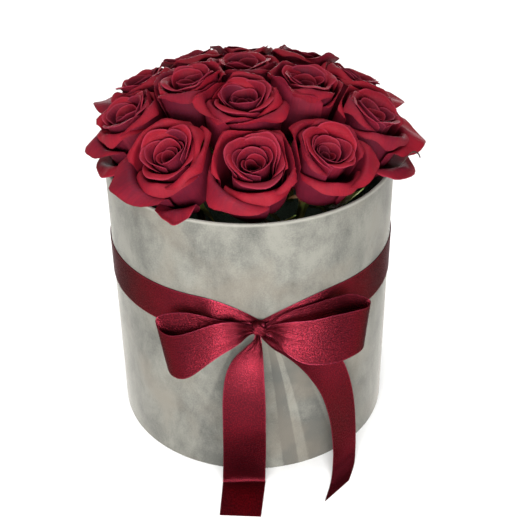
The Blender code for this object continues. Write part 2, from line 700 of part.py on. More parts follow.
def main():
    for obj in list(bpy.data.objects):
        bpy.data.objects.remove(obj)
    red = material("rose petal", PETAL_RED, 0.6)
    green = material("rose stem", STEM_GREEN, 0.6)
    velvet = material("grey velvet", VELVET_GREY, 0.9)
    foam = material("floral foam", FOAM_GREEN, 0.95)
    satin = material("burgundy satin", SATIN_BURGUNDY, 0.35)
    roses = [Rose(name, *place) for name, place in ROSES.items()]
    for rose in roses:
        for other in roses:
            if other is not rose and (other.middle - rose.middle).length < NEIGHBOURS_WITHIN:
                rose.meet(other)
    make_box(velvet)
    make_foam(roses, foam)
    for rose in roses:
        make_bloom(rose, red)
        make_stem(rose, green)
    make_band(satin)
    make_knot(satin)
    make_strip("bow_loop_left", LOOP_LEFT, 22, satin)
    make_strip("bow_loop_right", LOOP_RIGHT, 24, satin)
    make_strip("bow_tail_left", TAIL_LEFT, 18, satin)
    make_strip("bow_tail_right", TAIL_RIGHT, 20, satin)


main()
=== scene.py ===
"""A round velvet hat box of red roses, tied with a satin ribbon bow, over its fixed CAD frame.

Metres, +Z up, the bow faces -Y. An azimuth is counted from the bow's side towards +X.
"""

import contextlib
import functools
import math

import bpy
import numpy as np
from mathutils import Matrix, Vector


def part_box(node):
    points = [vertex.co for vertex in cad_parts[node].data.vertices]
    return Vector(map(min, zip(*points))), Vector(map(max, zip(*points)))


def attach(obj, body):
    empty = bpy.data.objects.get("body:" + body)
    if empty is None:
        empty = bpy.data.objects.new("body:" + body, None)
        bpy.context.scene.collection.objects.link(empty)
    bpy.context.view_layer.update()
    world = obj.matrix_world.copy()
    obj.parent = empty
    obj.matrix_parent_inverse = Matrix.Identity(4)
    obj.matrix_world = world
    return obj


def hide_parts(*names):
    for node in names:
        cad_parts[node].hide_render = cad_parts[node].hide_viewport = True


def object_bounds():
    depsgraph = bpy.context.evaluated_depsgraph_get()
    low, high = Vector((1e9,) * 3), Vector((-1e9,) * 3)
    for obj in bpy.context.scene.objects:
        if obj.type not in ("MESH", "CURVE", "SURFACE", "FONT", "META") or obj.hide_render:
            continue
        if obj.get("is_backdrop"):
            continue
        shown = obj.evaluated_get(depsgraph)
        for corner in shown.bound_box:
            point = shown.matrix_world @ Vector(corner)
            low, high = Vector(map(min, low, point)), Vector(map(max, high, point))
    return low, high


bl_info = {
    "name": "Rose box",
    "version": (1, 0, 0),
    "blender": (4, 5, 0),
    "location": "3D View > Sidebar > Rose box",
    "description": "Makes a velvet hat box of red roses with a satin ribbon bow",
    "category": "Add Mesh",
}

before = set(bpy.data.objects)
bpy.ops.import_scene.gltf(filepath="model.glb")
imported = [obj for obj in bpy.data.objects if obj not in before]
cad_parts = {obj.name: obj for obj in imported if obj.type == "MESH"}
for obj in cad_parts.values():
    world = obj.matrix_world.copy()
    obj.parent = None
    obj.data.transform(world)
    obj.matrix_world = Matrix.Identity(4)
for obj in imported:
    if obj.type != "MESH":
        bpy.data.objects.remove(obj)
cad_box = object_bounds()

MM = 0.001
BODY = "root"

# The box's form, as in the frame
BOX_LOW, BOX_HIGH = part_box("box")
BOX_RADIUS = (BOX_HIGH[0] - BOX_LOW[0]) / 2
BOX_HEIGHT = BOX_HIGH[2]
BOX_WALL = 2.5 * MM
BOX_BASE = 3 * MM
BOX_SIDES = 192
BOX_FOOT_SOFTNESS = 0.9 * MM

# How light the fan of brush strokes under the knot is, from its left to its right. It is brushed
# nap, and its darker stops are also painted shadow under the bow
NAP_AND_SHADOW_FAN = (
    (0, 0.5), (0.15, 0.5), (0.175, 0.34), (0.42, 0.44), (0.52, 0.5), (0.60, 0.5), (0.612, 0.2),
    (0.674, 0.26), (0.682, 0.56), (0.726, 0.54), (0.738, 0.3), (0.87, 0.24), (0.89, 0.5), (1, 0.5),
)

# The stems
STEM_RADIUS = 2.4 * MM
STEM_BOTTOM = 92 * MM
STEM_BEND = 8 * MM
STEM_LEAN_SHARE = 0.25
HIP_RADIUS = 5.2 * MM
HIP_LENGTH = 9 * MM
# The hip's outline: millimetres down from its top, and shares of its radius
HIP_SWELL = ((0, 0.72), (0.8, 0.9), (2, 1), (4, 0.98), (6, 0.84), (7.5, 0.66))
STEM_SIDES = 14
GREENS_THICKNESS = 0.5 * MM
SEPALS = 5
SEPAL_ROOT = 2.6 * MM
SEPAL_LENGTH = 21.5 * MM
SEPAL_HALF_WIDTH = 2.4 * MM
# The tips of the leaves, by their roses
LEAVES = {"front": (25, -79, 184), "front_right": (66, -54, 187)}
# A thin sepal that curls up outside the rim: its line's distances from the box's axis,
# azimuths and heights
CURLS = {
    "right": ((62, 78, 175), (76, 74, 180), (88, 71, 187), (95.4, 70, 190), (99.1, 70, 196.2),
              (102.4, 70, 200), (105.4, 70, 199.6), (107, 70, 197)),
}
CURL_HALF_WIDTH = 1.4 * MM
LEAF_HALF_WIDTH = 6.5 * MM
LEAF_TEETH = 9
LEAF_ROOT = 12 * MM
SEPAL_STEPS, CURL_STEPS, LEAF_STEPS = (4, 16), (4, 60), (10, 60)  # across and along a blade

# The blooms' rooms and forms, as in the frame
MOST_LEAN = math.radians(27)
HEART_HEIGHT = 37 * MM
CELL_MARGIN = 0.75 * MM  # left free inside each face of a rose's room
MEETING_DEPTH = 6 * MM  # below the hearts, where the room between two roses is shared out
NEIGHBOURS_WITHIN = 80 * MM
RIM_CLEARANCE = 1.2 * MM
NEAR_RIM = 12 * MM  # how far inside the wall a petal begins to be lifted over the rim
PRESSED = 9 * MM  # how far a petal may reach past its rose's room before it is stood up
LEFT_PROUD = 0.04  # the share of a petal's overrun that is left to it
STANDS_UP = (5, 14)  # degrees that a petal's wall and collar can be stood up by
GOLDEN_ANGLE = 137.5
FOOT_ARC = 19  # mm of a petal over which it turns up from its claw
LAYER_STEP = 1.08 * MM  # how much farther in each layer is pressed than the one outside it
GUARDS, MIDDLES, INNERS, HEARTS = 5, 2, 3, 8
LINE_STEPS = 32
# HEART_SHADE is painted shade: the heart's petals, sunk in the middle of the bloom, are painted
# darker
HEART_SHADE = 1.3  # how much deeper the heart's petals are, where a petal's tone is -1 to 1
PETAL_ACROSS, PETAL_ALONG = 16, 24
PETAL_ROWS = ((0, 0.36, 1), (0.08, 0.58, 1))  # shares of the rows, and how far up they are
PETAL_EDGE_THINNING = (0.4, 0.2)  # an edge's weight, and the thickness at weight 0

# The ribbon
RIBBON_WIDTH = 26 * MM
BAND_MIDDLE = 121 * MM
BAND_AT_KNOT = (114 * MM, 119.5 * MM)  # heights of its lower and upper edge
KNOT_AZIMUTH = 3
NARROWS_WITHIN = {"left": 24, "right": 32}  # degrees of the band, from the knot
BAND_BULGE = 3.2 * MM
BAND_STANDS_OFF = 0.35 * MM
GATHERED_SHARE = 0.3  # how much of a strip's length the pleats at the knot reach over
TAIL_CROWN = (0, 3, 2, 1, 0.5, 0)  # mm that a tail's middle stands out, from the knot down
KNOT_MIDDLE = Vector((4, -95.6, 118)) * MM
KNOT_SIZE = Vector((10.5, 8.5, 9.5)) * MM
KNOT_SLANT = math.radians(55)
LOOP_LEFT = (
    ((0.6, -97.6, 119.6), (0.6, -98, 116.4)),
    ((-2.9, -98.2, 122), (-2.9, -98.8, 115)),
    ((-11, -101, 126.5), (-9, -105, 113)),
    ((-22, -102, 126), (-21, -109, 107)),
    ((-40, -98, 116.5), (-36, -109, 94)),
    ((-50, -92, 111.5), (-44, -105, 89)),
    ((-56.5, -84.5, 112), (-50, -97, 87.5)),
    ((-56, -80.5, 117), (-50.5, -90.5, 92)),
    ((-40, -87, 124), (-38, -91, 99)),
    ((-17, -94, 123), (-16, -95.5, 107)),
    ((-2.9, -94.8, 122), (-2.9, -95.4, 115)),
    ((0.6, -95, 119.6), (0.6, -95.4, 116.4)),
)
LOOP_RIGHT = (
    ((7.4, -97.6, 119.6), (7.4, -98, 116.4)),
    ((10.9, -98.2, 122), (10.9, -98.8, 115)),
    ((22, -101, 126), (18, -107, 109.5)),
    ((35, -99.5, 126), (30, -109.5, 102)),
    ((48, -95, 126), (46, -105.5, 98.5)),
    ((61, -88, 124), (58, -98, 97.5)),
    ((69, -80, 121), (66, -88, 96)),
    ((70, -74, 122), (66.5, -78, 96)),
    ((59, -77.5, 128.5), (58, -79, 103)),
    ((48, -83, 130), (47, -86, 106)),
    ((34, -89, 129.5), (33, -92, 108)),
    ((19, -94, 127), (18, -96, 112)),
    ((10.9, -94.8, 122), (10.9, -95.4, 115)),
    ((7.4, -95, 119.6), (7.4, -95.4, 116.4)),
)
TAIL_LEFT = (
    ((1.6, -96, 114), (4.4, -96, 114)),
    ((0.6, -96.6, 110.2), (4.8, -96.6, 110.2)),
    ((-5, -99.9, 106.5), (5.5, -99.9, 104.5)),
    ((-12, -103.2, 100.5), (6, -103, 98)),
    ((-16.5, -106.6, 91), (6.5, -106.4, 87)),
    ((-18.5, -109.6, 76), (7, -109.4, 71)),
    ((-19, -109, 55), (7, -108.8, 51)),
    ((-19.5, -105, 30), (7, -104.8, 30)),
    ((-20.3, -102, 9), (6.6, -102, 9)),
    ((-20.6, -102.2, 1.6), (6.4, -102.2, 1.6)),
    ((-20.8, -105, 0.5), (6.2, -105, 0.5)),
    ((-22.3, -129.5, 0.5), (3.2, -131.5, 0.5)),
)
TAIL_RIGHT = (
    ((4.4, -95.5, 113), (7.2, -95, 114.5)),
    ((6.0, -96.0, 110.1), (9.9, -95.2, 112.2)),
    ((12, -96.2, 103), (20, -93.5, 109)),
    ((19, -95.5, 97), (33, -88.5, 104)),
    ((27, -94, 88), (45, -81.5, 94)),
    ((34, -93, 78), (54, -77, 81)),
    ((42, -91.5, 62), (60, -74.5, 64)),
    ((47.5, -90.5, 41), (64, -72, 43)),
    ((50, -91, 20), (66, -72.5, 20)),
    ((50, -94.5, 6), (66, -78, 5)),
    ((48, -104, 0.9), (64.5, -88, 0.9)),
    ((43.3, -120, 0.5), (60, -102, 0.5)),
)

# Each strip of the bow: its two edges, and its steps along them
LOOPS = {"loop_left": (LOOP_LEFT, 120), "loop_right": (LOOP_RIGHT, 140)}
TAILS = {"tail_left": (TAIL_LEFT, 110), "tail_right": (TAIL_RIGHT, 110)}
STRIP_ACROSS = 16
BAND_STEPS = (288, 12)  # round the box and across the band
LINE_POINTS = 400  # along a strip's middle line, for its length
ABOVE_FLOOR = 0.1 * MM  # the least that a strip's underside is above the floor

# The stage: the camera's place, its turns down, aside and about its axis in degrees, its lens and
# sensor in millimetres, the sky's strength, and each softbox's place, sides and power
CAMERA_PLACE = (0, -0.5863, 0.4852)
CAMERA_TURNS = (33.20, 0.69, -0.62)
LENS, SENSOR = 72.14, 36
SKY = 0.18
FLOOR_SIDE = 12
SOFTBOXES = {
    "top": ((-0.2, 0.3, 2.45), (2.8, 2.8), 75),
    "front": ((-0.05, -1.25, 0.42), (1.4, 0.42), 42),
    "rear": ((0.1, 1.9, 0.24), (2.2, 0.4), 30),
}
LIT_POINT = Vector((0, 0, 0.15))

# Each rose: the azimuth, the distance from the box's axis and the height of its heart, its lean
# away from upright, the turn of its first petal, its size and its openness
ROSES = {
    "front": (2, 67, 214, 27, 312, 1.20, 1.0),
    "front_left": (-40, 73, 214, 27, 325, 1.18, 1.0),
    "front_right": (39, 73, 214, 27, 61, 1.12, 1.0),
    "left": (-84, 75, 216, 26, 1, 1.12, 1.0),
    "right": (79, 77, 217, 25, 28, 1.18, 1.0),
    "back_left": (-117, 76, 218, 24, 15, 1.1, 1.0),
    "back_right": (115, 76, 219, 24, 350, 1.1, 1.0),
    "rear_left": (-147, 70, 222, 22, 20, 1.1, 0.9),
    "rear_right": (149, 69, 223, 22, 260, 1.08, 0.9),
    "rear": (-179, 74, 220, 23, 90, 1.08, 0.9),
    "inner_front": (-7, 26, 233, 10, 275, 1.18, 1.0),
    "inner_right": (86, 35, 233, 9, 230, 1.12, 1.0),
    "inner_left": (-84, 35, 235, 9, 310, 1.05, 1.0),
    "inner_rear": (-174, 26, 232, 6, 172, 1.08, 1.0),
}

# The first guard petal of some roses: how far its lip folds, in degrees, and the length of its
# tail in millimetres
SPREAD = {
    "front_left": (110, 7),
    "front": (150, 5),
    "front_right": (120, 4),
    "left": (115, 4.5),
    "right": (92, 8),
    "back_left": (85, 7),
    "back_right": (85, 7),
    "inner_front": (130, 6),
}
SPREAD_ELSEWHERE = (130, 5)

# A low outermost petal that hangs over the rim beside some roses: its turn, its length up to
# the crest, how steeply it stands, the length of its tail and half its width in degrees
HANGING = {
    "left": (44, 23, 62, 2.5, 62),
    "right": (-30, 23.5, 62, 3.5, 62),
    "front_left": (35, 26, 66, 4.5, 27),
}


def linear(code):
    """An sRGB hex colour as linear red, green and blue."""
    parts = [int(code[k : k + 2], 16) / 255 for k in (1, 3, 5)]
    return tuple(c / 12.92 if c <= 0.04045 else ((c + 0.055) / 1.055) ** 2.4 for c in parts)


def colour(name, code, description):
    return bpy.props.FloatVectorProperty(
        name=name, description=description, default=linear(code), subtype="COLOR", min=0, max=1
    )


def length(name, value, description):
    return bpy.props.FloatProperty(
        name=name, description=description, default=value, unit="LENGTH", min=0
    )


class RoseBoxSizes(bpy.types.PropertyGroup):
    """The sizes that a user would change."""

    petal_thickness: length("Petal thickness", 0.42 * MM, "Thickness of a petal near its middle")
    ribbon_thickness: length("Ribbon thickness", 0.4 * MM, "Thickness of the satin ribbon")
    rim_softness: length("Rim softness", 1.1 * MM, "Radius of the velvet over the box's rim")
    pleat_depth: length("Pleat depth", 1.1 * MM, "Depth of the ribbon's pleats at the knot")


class RoseBoxColours(bpy.types.PropertyGroup):
    """The colours that a user would change."""

    petal_bright: colour("Petal, bright", "#6e0d1b", "The lit inner face of a petal")
    # The petal's deep colour is painted shade towards its claw, deep in the bloom
    petal_shaded: colour("Petal, deep", "#480d1c", "The claw and the folds of a petal")
    petal_outside: colour("Petal, outside", "#681223", "The duller outer face of a petal")
    # The petal's edge colour is a painted highlight along the thin edges of inner petals
    petal_edge_highlight: colour("Petal, edge", "#b04058", "The thin edge of a petal")
    velvet: colour("Velvet", "#6c6b64", "The nap brushed one way")
    velvet_dark: colour("Velvet, brushed back", "#4b4b47", "The nap brushed the other way")
    # The base colour lies between the deep and the bright satin, nearest the bright one in its
    # painted glints
    satin: colour("Satin", "#701a25", "The ribbon where it catches the light")
    satin_deep: colour("Satin, deep", "#28121a", "The ribbon in its folds")
    green: colour("Green", "#4d5f2c", "Stems, sepals and leaves")
    green_young: colour("Young green", "#86893f", "The light parts of the greens")
    foam: colour("Foam", "#2f3f30", "The floral foam")
    floor: colour("Floor", "#f4f4f3", "The floor of the stage")


def smooth(x):
    """A soft ramp from zero at 0 to one at 1."""
    x = np.clip(x, 0, 1)
    return x * x * (3 - 2 * x)


def fill(node, inputs):
    """Sets a node's inputs, or links them to sockets or to the outputs in use of other nodes."""
    for name, value in inputs.items():
        socket = node.inputs[name]
        if isinstance(value, bpy.types.Node):
            value = next(output for output in value.outputs if output.enabled)
        if isinstance(value, bpy.types.NodeSocket):
            node.id_data.links.new(value, socket)
        else:
            socket.default_value = (*value, 1) if socket.type == "RGBA" else value


def add_node(tree, kind, inputs=None, stops=None, **settings):
    """Adds a node with its settings, its inputs and the grey stops of its ramp."""
    made = tree.nodes.new("ShaderNode" + kind)
    for name, value in settings.items():
        setattr(made, name, value)
    fill(made, inputs or {})
    if stops:
        ramp = made.color_ramp.elements
        while len(ramp) < len(stops):
            ramp.new(1)
        for element, (place, value) in zip(ramp, stops):
            element.position = place
            element.color = (value, value, value, 1)
    return made


def new_material(name, shown):
    """A material in its colour for the 3D view, a function that adds to it, and its shader."""
    made = bpy.data.materials.new(name)
    made.use_nodes = True
    made.diffuse_color = (*shown, 1)
    tree = made.node_tree
    return made, functools.partial(add_node, tree), tree.nodes["Principled BSDF"]


def petal_material(name, bright, deep, edge, sheen):
    """Living rose petal: tiny domed cells scatter light softly, so it looks like matte velvet.

    It is painted darker towards the claw, painted shade deep in the bloom, and has fine veins
    along it. Its thin edge is painted lighter on an inner petal, a painted highlight, and darker
    on a guard petal, painted shade.
    """
    made, add, shader = new_material(name, bright)
    uv = add("UVMap", uv_map="petal")
    part = add("SeparateXYZ", {0: uv}).outputs
    place = add("TexCoord").outputs["Object"]
    # A petal's tone: its random tone, less the painted shade on the heart's petals
    tone = add("Attribute", attribute_name="tone").outputs["Fac"]
    # Whether a petal is a guard petal, whose edge gets painted shade instead of a painted
    # highlight
    age = add("Attribute", attribute_name="age").outputs["Fac"]
    # Veins about 1 mm apart across a petal 45 mm wide, long and slightly wandering
    spread = add("Mapping", {"Vector": uv, "Scale": (42, 3, 1)})
    apart = add("CombineXYZ", {"Z": tone})
    own = add("VectorMath", {0: spread, 1: apart}, operation="ADD")
    veins = add("TexNoise", {"Vector": own, "Scale": 1, "Detail": 3})
    blotch = add("TexNoise", {"Vector": place, "Scale": 1 / (7 * MM), "Detail": 4})
    # Painted shade: darker from near the lip down to the claw, which lies deep in the bloom
    up = add("MapRange", {0: part["Y"], 1: 0.62, 2: 0.97, 3: 0, 4: 0.9})
    vary = add("Math", {0: veins, 1: blotch}, operation="ADD")
    vary = add("Math", {0: vary, 1: 0.7, 2: -0.7}, operation="MULTIPLY_ADD")
    toned = add("Math", {0: tone, 1: 0.35, 2: vary}, operation="MULTIPLY_ADD")
    amount = add("Math", {0: up, 1: toned}, operation="ADD", use_clamp=True)
    body = add("Mix", {0: amount, 6: deep, 7: bright}, data_type="RGBA")
    # The edge: how near the tip or a side the point is. It is painted lighter on an inner petal, a
    # painted highlight where light catches the edge, and painted darker on a guard petal, painted
    # shade where its edge turns away
    side = add("Math", {0: part["X"], 1: 0.5}, operation="SUBTRACT")
    side = add("Math", {0: side}, operation="ABSOLUTE")
    side = add("Math", {0: side, 1: 2}, operation="MULTIPLY")
    near = add("Math", {0: side, 1: part["Y"]}, operation="MAXIMUM")
    rim = add("MapRange", {0: near, 1: 0.97, 2: 0.995, 3: 0, 4: 0.2})
    not_guard = add("Math", {0: 1, 1: age}, operation="SUBTRACT")
    rim_highlight = add("Math", {0: rim, 1: not_guard}, operation="MULTIPLY")
    rim_shade = add("Math", {0: rim, 1: age}, operation="MULTIPLY")
    lit = add("Mix", {0: rim_highlight, 6: body, 7: edge}, data_type="RGBA")
    edge_shaded = add("Mix", {0: rim_shade, 6: lit, 7: linear("#36060f")}, data_type="RGBA")
    ridges = add("Bump", {"Strength": 0.6, "Distance": 0.3 * MM, "Height": veins})
    fill(shader, {
        "Base Color": edge_shaded, "Normal": ridges, "Roughness": 0.66, "IOR": 1.4,
        "Specular IOR Level": 0.12, "Sheen Weight": sheen, "Sheen Roughness": 0.45,
        "Sheen Tint": linear("#ff3a5a"), "Subsurface Weight": 0.12,
        "Subsurface Radius": (1, 0.12, 0.1), "Subsurface Scale": 0.6 * MM,
    })
    return made


def velvet_material(colours):
    """Cotton velvet glued on board: the short pile shows light and dark where it was brushed.

    Soft clouds about 20 mm across, a fan of brush strokes under the knot that is also painted
    shadow of the bow, a fine grain, and a painted highlight along the rim.
    """
    made, add, shader = new_material("cotton velvet, light grey", colours.velvet)
    place = add("TexCoord").outputs["Object"]
    part = add("SeparateXYZ", {0: place}).outputs
    drawn = add("Mapping", {"Vector": place, "Scale": (1, 1, 0.7)})
    clouds = add("TexNoise", {"Vector": drawn, "Scale": 1 / (20 * MM), "Detail": 8,
                                    "Roughness": 0.62, "Distortion": 0.3})
    brushed = add("Mapping", {"Vector": place, "Scale": (1, 1, 0.28), "Rotation": (0.25, 0.2, 0)})
    strokes = add("TexNoise", {"Vector": brushed, "Scale": 1 / (5 * MM), "Detail": 4})
    # The pile's own grain is 0.2 mm; it is drawn at 0.9 mm, the finest that the render shows
    grain = add("TexNoise", {"Vector": place, "Scale": 1 / (0.9 * MM), "Detail": 2})
    # The fan of brushed nap and painted shadow under the bow: the way along the wall from the knot
    # over a power of the depth below it, in mm
    back = add("Math", {0: part["Y"], 1: -1}, operation="MULTIPLY")
    turn = add("Math", {0: part["X"], 1: back}, operation="ARCTAN2")
    arc = add("Math", {0: turn, 1: BOX_RADIUS / MM, 2: -KNOT_MIDDLE.x / MM},
              operation="MULTIPLY_ADD")
    depth = add("Math", {0: part["Z"], 1: -1 / MM, 2: KNOT_MIDDLE.z / MM},
                operation="MULTIPLY_ADD")
    deep = add("Math", {0: depth, 1: 8}, operation="MAXIMUM")
    power = add("Math", {0: deep, 1: 0.6}, operation="POWER")
    slope = add("Math", {0: arc, 1: power}, operation="DIVIDE")
    across = add("MapRange", {0: slope, 1: -4, 2: 4, 3: 0, 4: 1})
    fan = add("ValToRGB", {0: across}, stops=NAP_AND_SHADOW_FAN)
    fan = add("Math", {0: fan, 1: 0.5}, operation="SUBTRACT")
    below = add("MapRange", {0: depth, 1: 4, 2: 22, 3: 0, 4: 3})
    fan = add("Math", {0: fan, 1: below}, operation="MULTIPLY")
    cloud = add("MapRange", {0: clouds, 1: 0.34, 2: 0.66, 3: 0.16, 4: 1.12})
    stroke = add("Math", {0: strokes, 1: 0.35, 2: -0.175}, operation="MULTIPLY_ADD")
    speck = add("Math", {0: grain, 1: 0.9, 2: -0.45}, operation="MULTIPLY_ADD")
    mix = add("Math", {0: cloud, 1: stroke}, operation="ADD")
    mix = add("Math", {0: mix, 1: speck}, operation="ADD")
    mix = add("Math", {0: mix, 1: fan}, operation="ADD", use_clamp=True)
    body = add("Mix", {0: mix, 6: colours.velvet_dark, 7: colours.velvet}, data_type="RGBA")
    # Patches about 35 mm wide where the pile looks browner
    warm = add("TexNoise", {"Vector": place, "Scale": 1 / (34 * MM), "Detail": 3})
    warmer = add("MapRange", {0: warm, 1: 0.48, 2: 0.66, 3: 0, 4: 0.45})
    tinted = add("Mix", {0: warmer, 6: body, 7: linear("#655e54")}, data_type="RGBA")
    # The pile over the rim stands open and is painted lighter, partly a painted highlight where
    # the rim faces the light
    top = add("MapRange", {0: part["Z"], 1: BOX_HEIGHT - 1.8 * MM,
                                 2: BOX_HEIGHT - 0.6 * MM, 3: 0, 4: 1})
    rim_highlighted = add("Mix", {0: top, 6: tinted, 7: linear("#7c7a73")}, data_type="RGBA")
    pile = add("Bump", {"Strength": 0.5, "Distance": 0.25 * MM, "Height": grain})
    fill(shader, {
        "Base Color": rim_highlighted, "Normal": pile, "Roughness": 0.95,
        "Specular IOR Level": 0.15, "Sheen Weight": 0.35, "Sheen Roughness": 0.35,
        "Sheen Tint": linear("#f2efe8"),
    })
    return made


def satin_material(colours):
    """Polyester satin: long floats of thread along the ribbon give a broad coloured shine."""
    made, add, shader = new_material("polyester satin, burgundy", colours.satin)
    uv = add("UVMap", uv_map="ribbon")
    part = add("SeparateXYZ", {0: uv}).outputs
    # Threads are 0.15 mm apart; they are drawn at 0.5 mm, and their glints at 0.85 mm, as coarse
    # as they need to be to show
    floats = add("Mapping", {"Vector": uv, "Scale": (1 / (0.5 * MM), 1 / (6 * MM), 1)})
    warp = add("TexNoise", {"Vector": floats, "Scale": 1, "Detail": 2})
    glint = add("TexNoise", {"Vector": uv, "Scale": 1 / (0.85 * MM), "Detail": 3})
    cloud = add("TexNoise", {"Vector": uv, "Scale": 1 / (14 * MM), "Detail": 2})
    # Painted glints: specks of the base colour are lighter, as glitter; the bump adds its own
    # glints
    painted_glints = add("MapRange", {0: glint, 1: 0.42, 2: 0.68, 3: 0.2, 4: 0.8})
    amount = add("Math", {0: cloud, 1: 0.3, 2: painted_glints}, operation="MULTIPLY_ADD", use_clamp=True)
    body = add("Mix", {0: amount, 6: colours.satin_deep, 7: colours.satin}, data_type="RGBA")
    # The selvedge: a firm woven edge 0.7 mm wide, a little lighter
    half = RIBBON_WIDTH / 2
    side = add("Math", {0: part["X"], 1: half}, operation="SUBTRACT")
    side = add("Math", {0: side}, operation="ABSOLUTE")
    edge = add("MapRange", {0: side, 1: half - 0.7 * MM, 2: half - 0.5 * MM, 3: 0, 4: 0.35})
    edged = add("Mix", {0: edge, 6: body, 7: linear("#8a3044")}, data_type="RGBA")
    weave = add("Math", {0: warp, 1: glint}, operation="ADD")
    threads = add("Bump", {"Strength": 1, "Distance": 0.28 * MM, "Height": weave})
    along = add("Tangent", direction_type="UV_MAP", uv_map="ribbon")
    fill(shader, {
        "Base Color": edged, "Normal": threads, "Tangent": along, "Roughness": 0.28,
        "Anisotropic": 0.5, "Metallic": 0.9, "Specular Tint": linear("#7d2e3a"),
    })
    return made


def green_material(colours):
    """Living rose greenery: a waxy skin with a soft shine, paler and reddish in places."""
    made, add, shader = new_material("rose greenery", colours.green)
    place = add("TexCoord").outputs["Object"]
    patches = add("TexNoise", {"Vector": place, "Scale": 1 / (9 * MM), "Detail": 4})
    amount = add("MapRange", {0: patches, 1: 0.35, 2: 0.65})
    body = add("Mix", {0: amount, 6: colours.green, 7: colours.green_young}, data_type="RGBA")
    red = add("TexNoise", {"Vector": place, "Scale": 1 / (16 * MM), "Detail": 2})
    blush = add("MapRange", {0: red, 1: 0.5, 2: 0.64, 3: 0, 4: 0.8})
    tinted = add("Mix", {0: blush, 6: body, 7: linear("#6b3a2a")}, data_type="RGBA")
    fine = add("TexNoise", {"Vector": place, "Scale": 1 / (1.2 * MM), "Detail": 3})
    skin = add("Bump", {"Strength": 0.3, "Distance": 0.2 * MM, "Height": fine})
    fill(shader, {"Base Color": tinted, "Normal": skin, "Roughness": 0.45,
                  "Specular IOR Level": 0.4})
    return made


def dried_material():
    """A withered sepal: dry, brown and dull."""
    brown = linear("#2c1713")
    made, _, shader = new_material("rose sepal, withered", brown)
    fill(shader, {"Base Color": brown, "Roughness": 0.7, "Specular IOR Level": 0.3})
    return made


def foam_material(colours):
    """Phenolic floral foam, wetted: open cells under a millimetre wide, dull and dark green, with
    painted shade in each cell's pit.
    """
    made, add, shader = new_material("floral foam, wet", colours.foam)
    place = add("TexCoord").outputs["Object"]
    # The cells are drawn at 1.1 mm, the finest that the render shows
    cells = add("TexVoronoi", {"Vector": place, "Scale": 1 / (1.1 * MM)})
    # Painted shade: each cell is darker towards the pit in its middle
    amount = add("MapRange", {0: cells, 1: 0, 2: 0.7, 3: 0.25, 4: 1})
    body = add("Mix", {0: amount, 6: linear("#141d16"), 7: colours.foam}, data_type="RGBA")
    pits = add("Bump", {"Strength": 0.8, "Distance": 0.5 * MM, "Height": cells})
    fill(shader, {"Base Color": body, "Normal": pits, "Roughness": 0.95})
    return made


def floor_material(colours):
    """Seamless studio paper: matte, with no grain that the camera could see."""
    made, _, shader = new_material("studio paper", colours.floor)
    fill(shader, {"Base Color": colours.floor, "Roughness": 1, "Specular IOR Level": 0})
    return made


def choose(*objects):
    """Makes these the selected objects, and the first one active."""
    bpy.ops.object.select_all(action="DESELECT")
    for obj in objects:
        obj.select_set(True)
    bpy.context.view_layer.objects.active = objects[0]


def apply_modifier(obj, kind, **settings):
    choose(obj)
    bpy.ops.object.modifier_add(type=kind)
    modifier = obj.modifiers[-1]
    for name, value in settings.items():
        setattr(modifier, name, value)
    bpy.ops.object.modifier_apply(modifier=modifier.name)


def basic(add_mesh, **settings):
    """One of Blender's basic meshes, selected alone."""
    bpy.ops.object.select_all(action="DESELECT")
    add_mesh(**settings)
    return bpy.context.object


@contextlib.contextmanager
def editing(obj):
    """Edit mode for one mesh, with all of it selected."""
    choose(obj)
    bpy.ops.object.mode_set(mode="EDIT")
    bpy.ops.mesh.select_all(action="SELECT")
    yield
    bpy.ops.object.mode_set(mode="OBJECT")


@contextlib.contextmanager
def editing_faces(obj, test):
    """Edit mode for the faces whose middle and normal pass a test."""
    with editing(obj):
        bpy.ops.mesh.select_mode(type="FACE")
        bpy.ops.mesh.select_all(action="DESELECT")
    for face in obj.data.polygons:
        face.select = test(face.center, face.normal)
    bpy.ops.object.mode_set(mode="EDIT")
    yield
    bpy.ops.object.mode_set(mode="OBJECT")


def shade(obj, degrees):
    """Smooth shading across edges flatter than this."""
    choose(obj)
    bpy.ops.object.shade_smooth_by_angle(angle=math.radians(degrees))


def finish_piece(obj, name, slot, *nodes):
    """Names a piece, and lets it ride on the body and stand for its nodes. Its slot is not used.
    """
    obj.name = obj.data.name = name
    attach(obj, BODY)
    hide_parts(*nodes)
    return obj


def points_of(obj):
    """A mesh's vertices as an array of points."""
    flat = np.empty(len(obj.data.vertices) * 3)
    obj.data.vertices.foreach_get("co", flat)
    return flat.reshape(-1, 3)


def grid(across, along, layer):
    """A flat grid with its corners at -1 and 1 and a UV map of that name."""
    obj = basic(bpy.ops.mesh.primitive_grid_add, x_subdivisions=across, y_subdivisions=along,
                size=2)
    obj.data.uv_layers[0].name = layer
    flat = points_of(obj)
    return obj, flat[:, 0], (flat[:, 1] + 1) / 2


def lay_out(obj, points, uv=None):
    """Moves a mesh's vertices to these points, and its UV map to these values of each vertex."""
    mesh = obj.data
    mesh.vertices.foreach_set("co", np.ascontiguousarray(points, dtype=float).ravel())
    if uv is not None:
        corner = np.empty(len(mesh.loops), dtype=int)
        mesh.loops.foreach_get("vertex_index", corner)
        mesh.uv_layers[0].data.foreach_set("uv", np.ascontiguousarray(uv[corner]).ravel())
    mesh.update()


def note(obj, **values):
    """Keeps one number for the whole of a piece in a named attribute of its points."""
    for name, value in values.items():
        kept = obj.data.attributes.new(name, "FLOAT", "POINT")
        kept.data.foreach_set("value", np.full(len(obj.data.vertices), value))


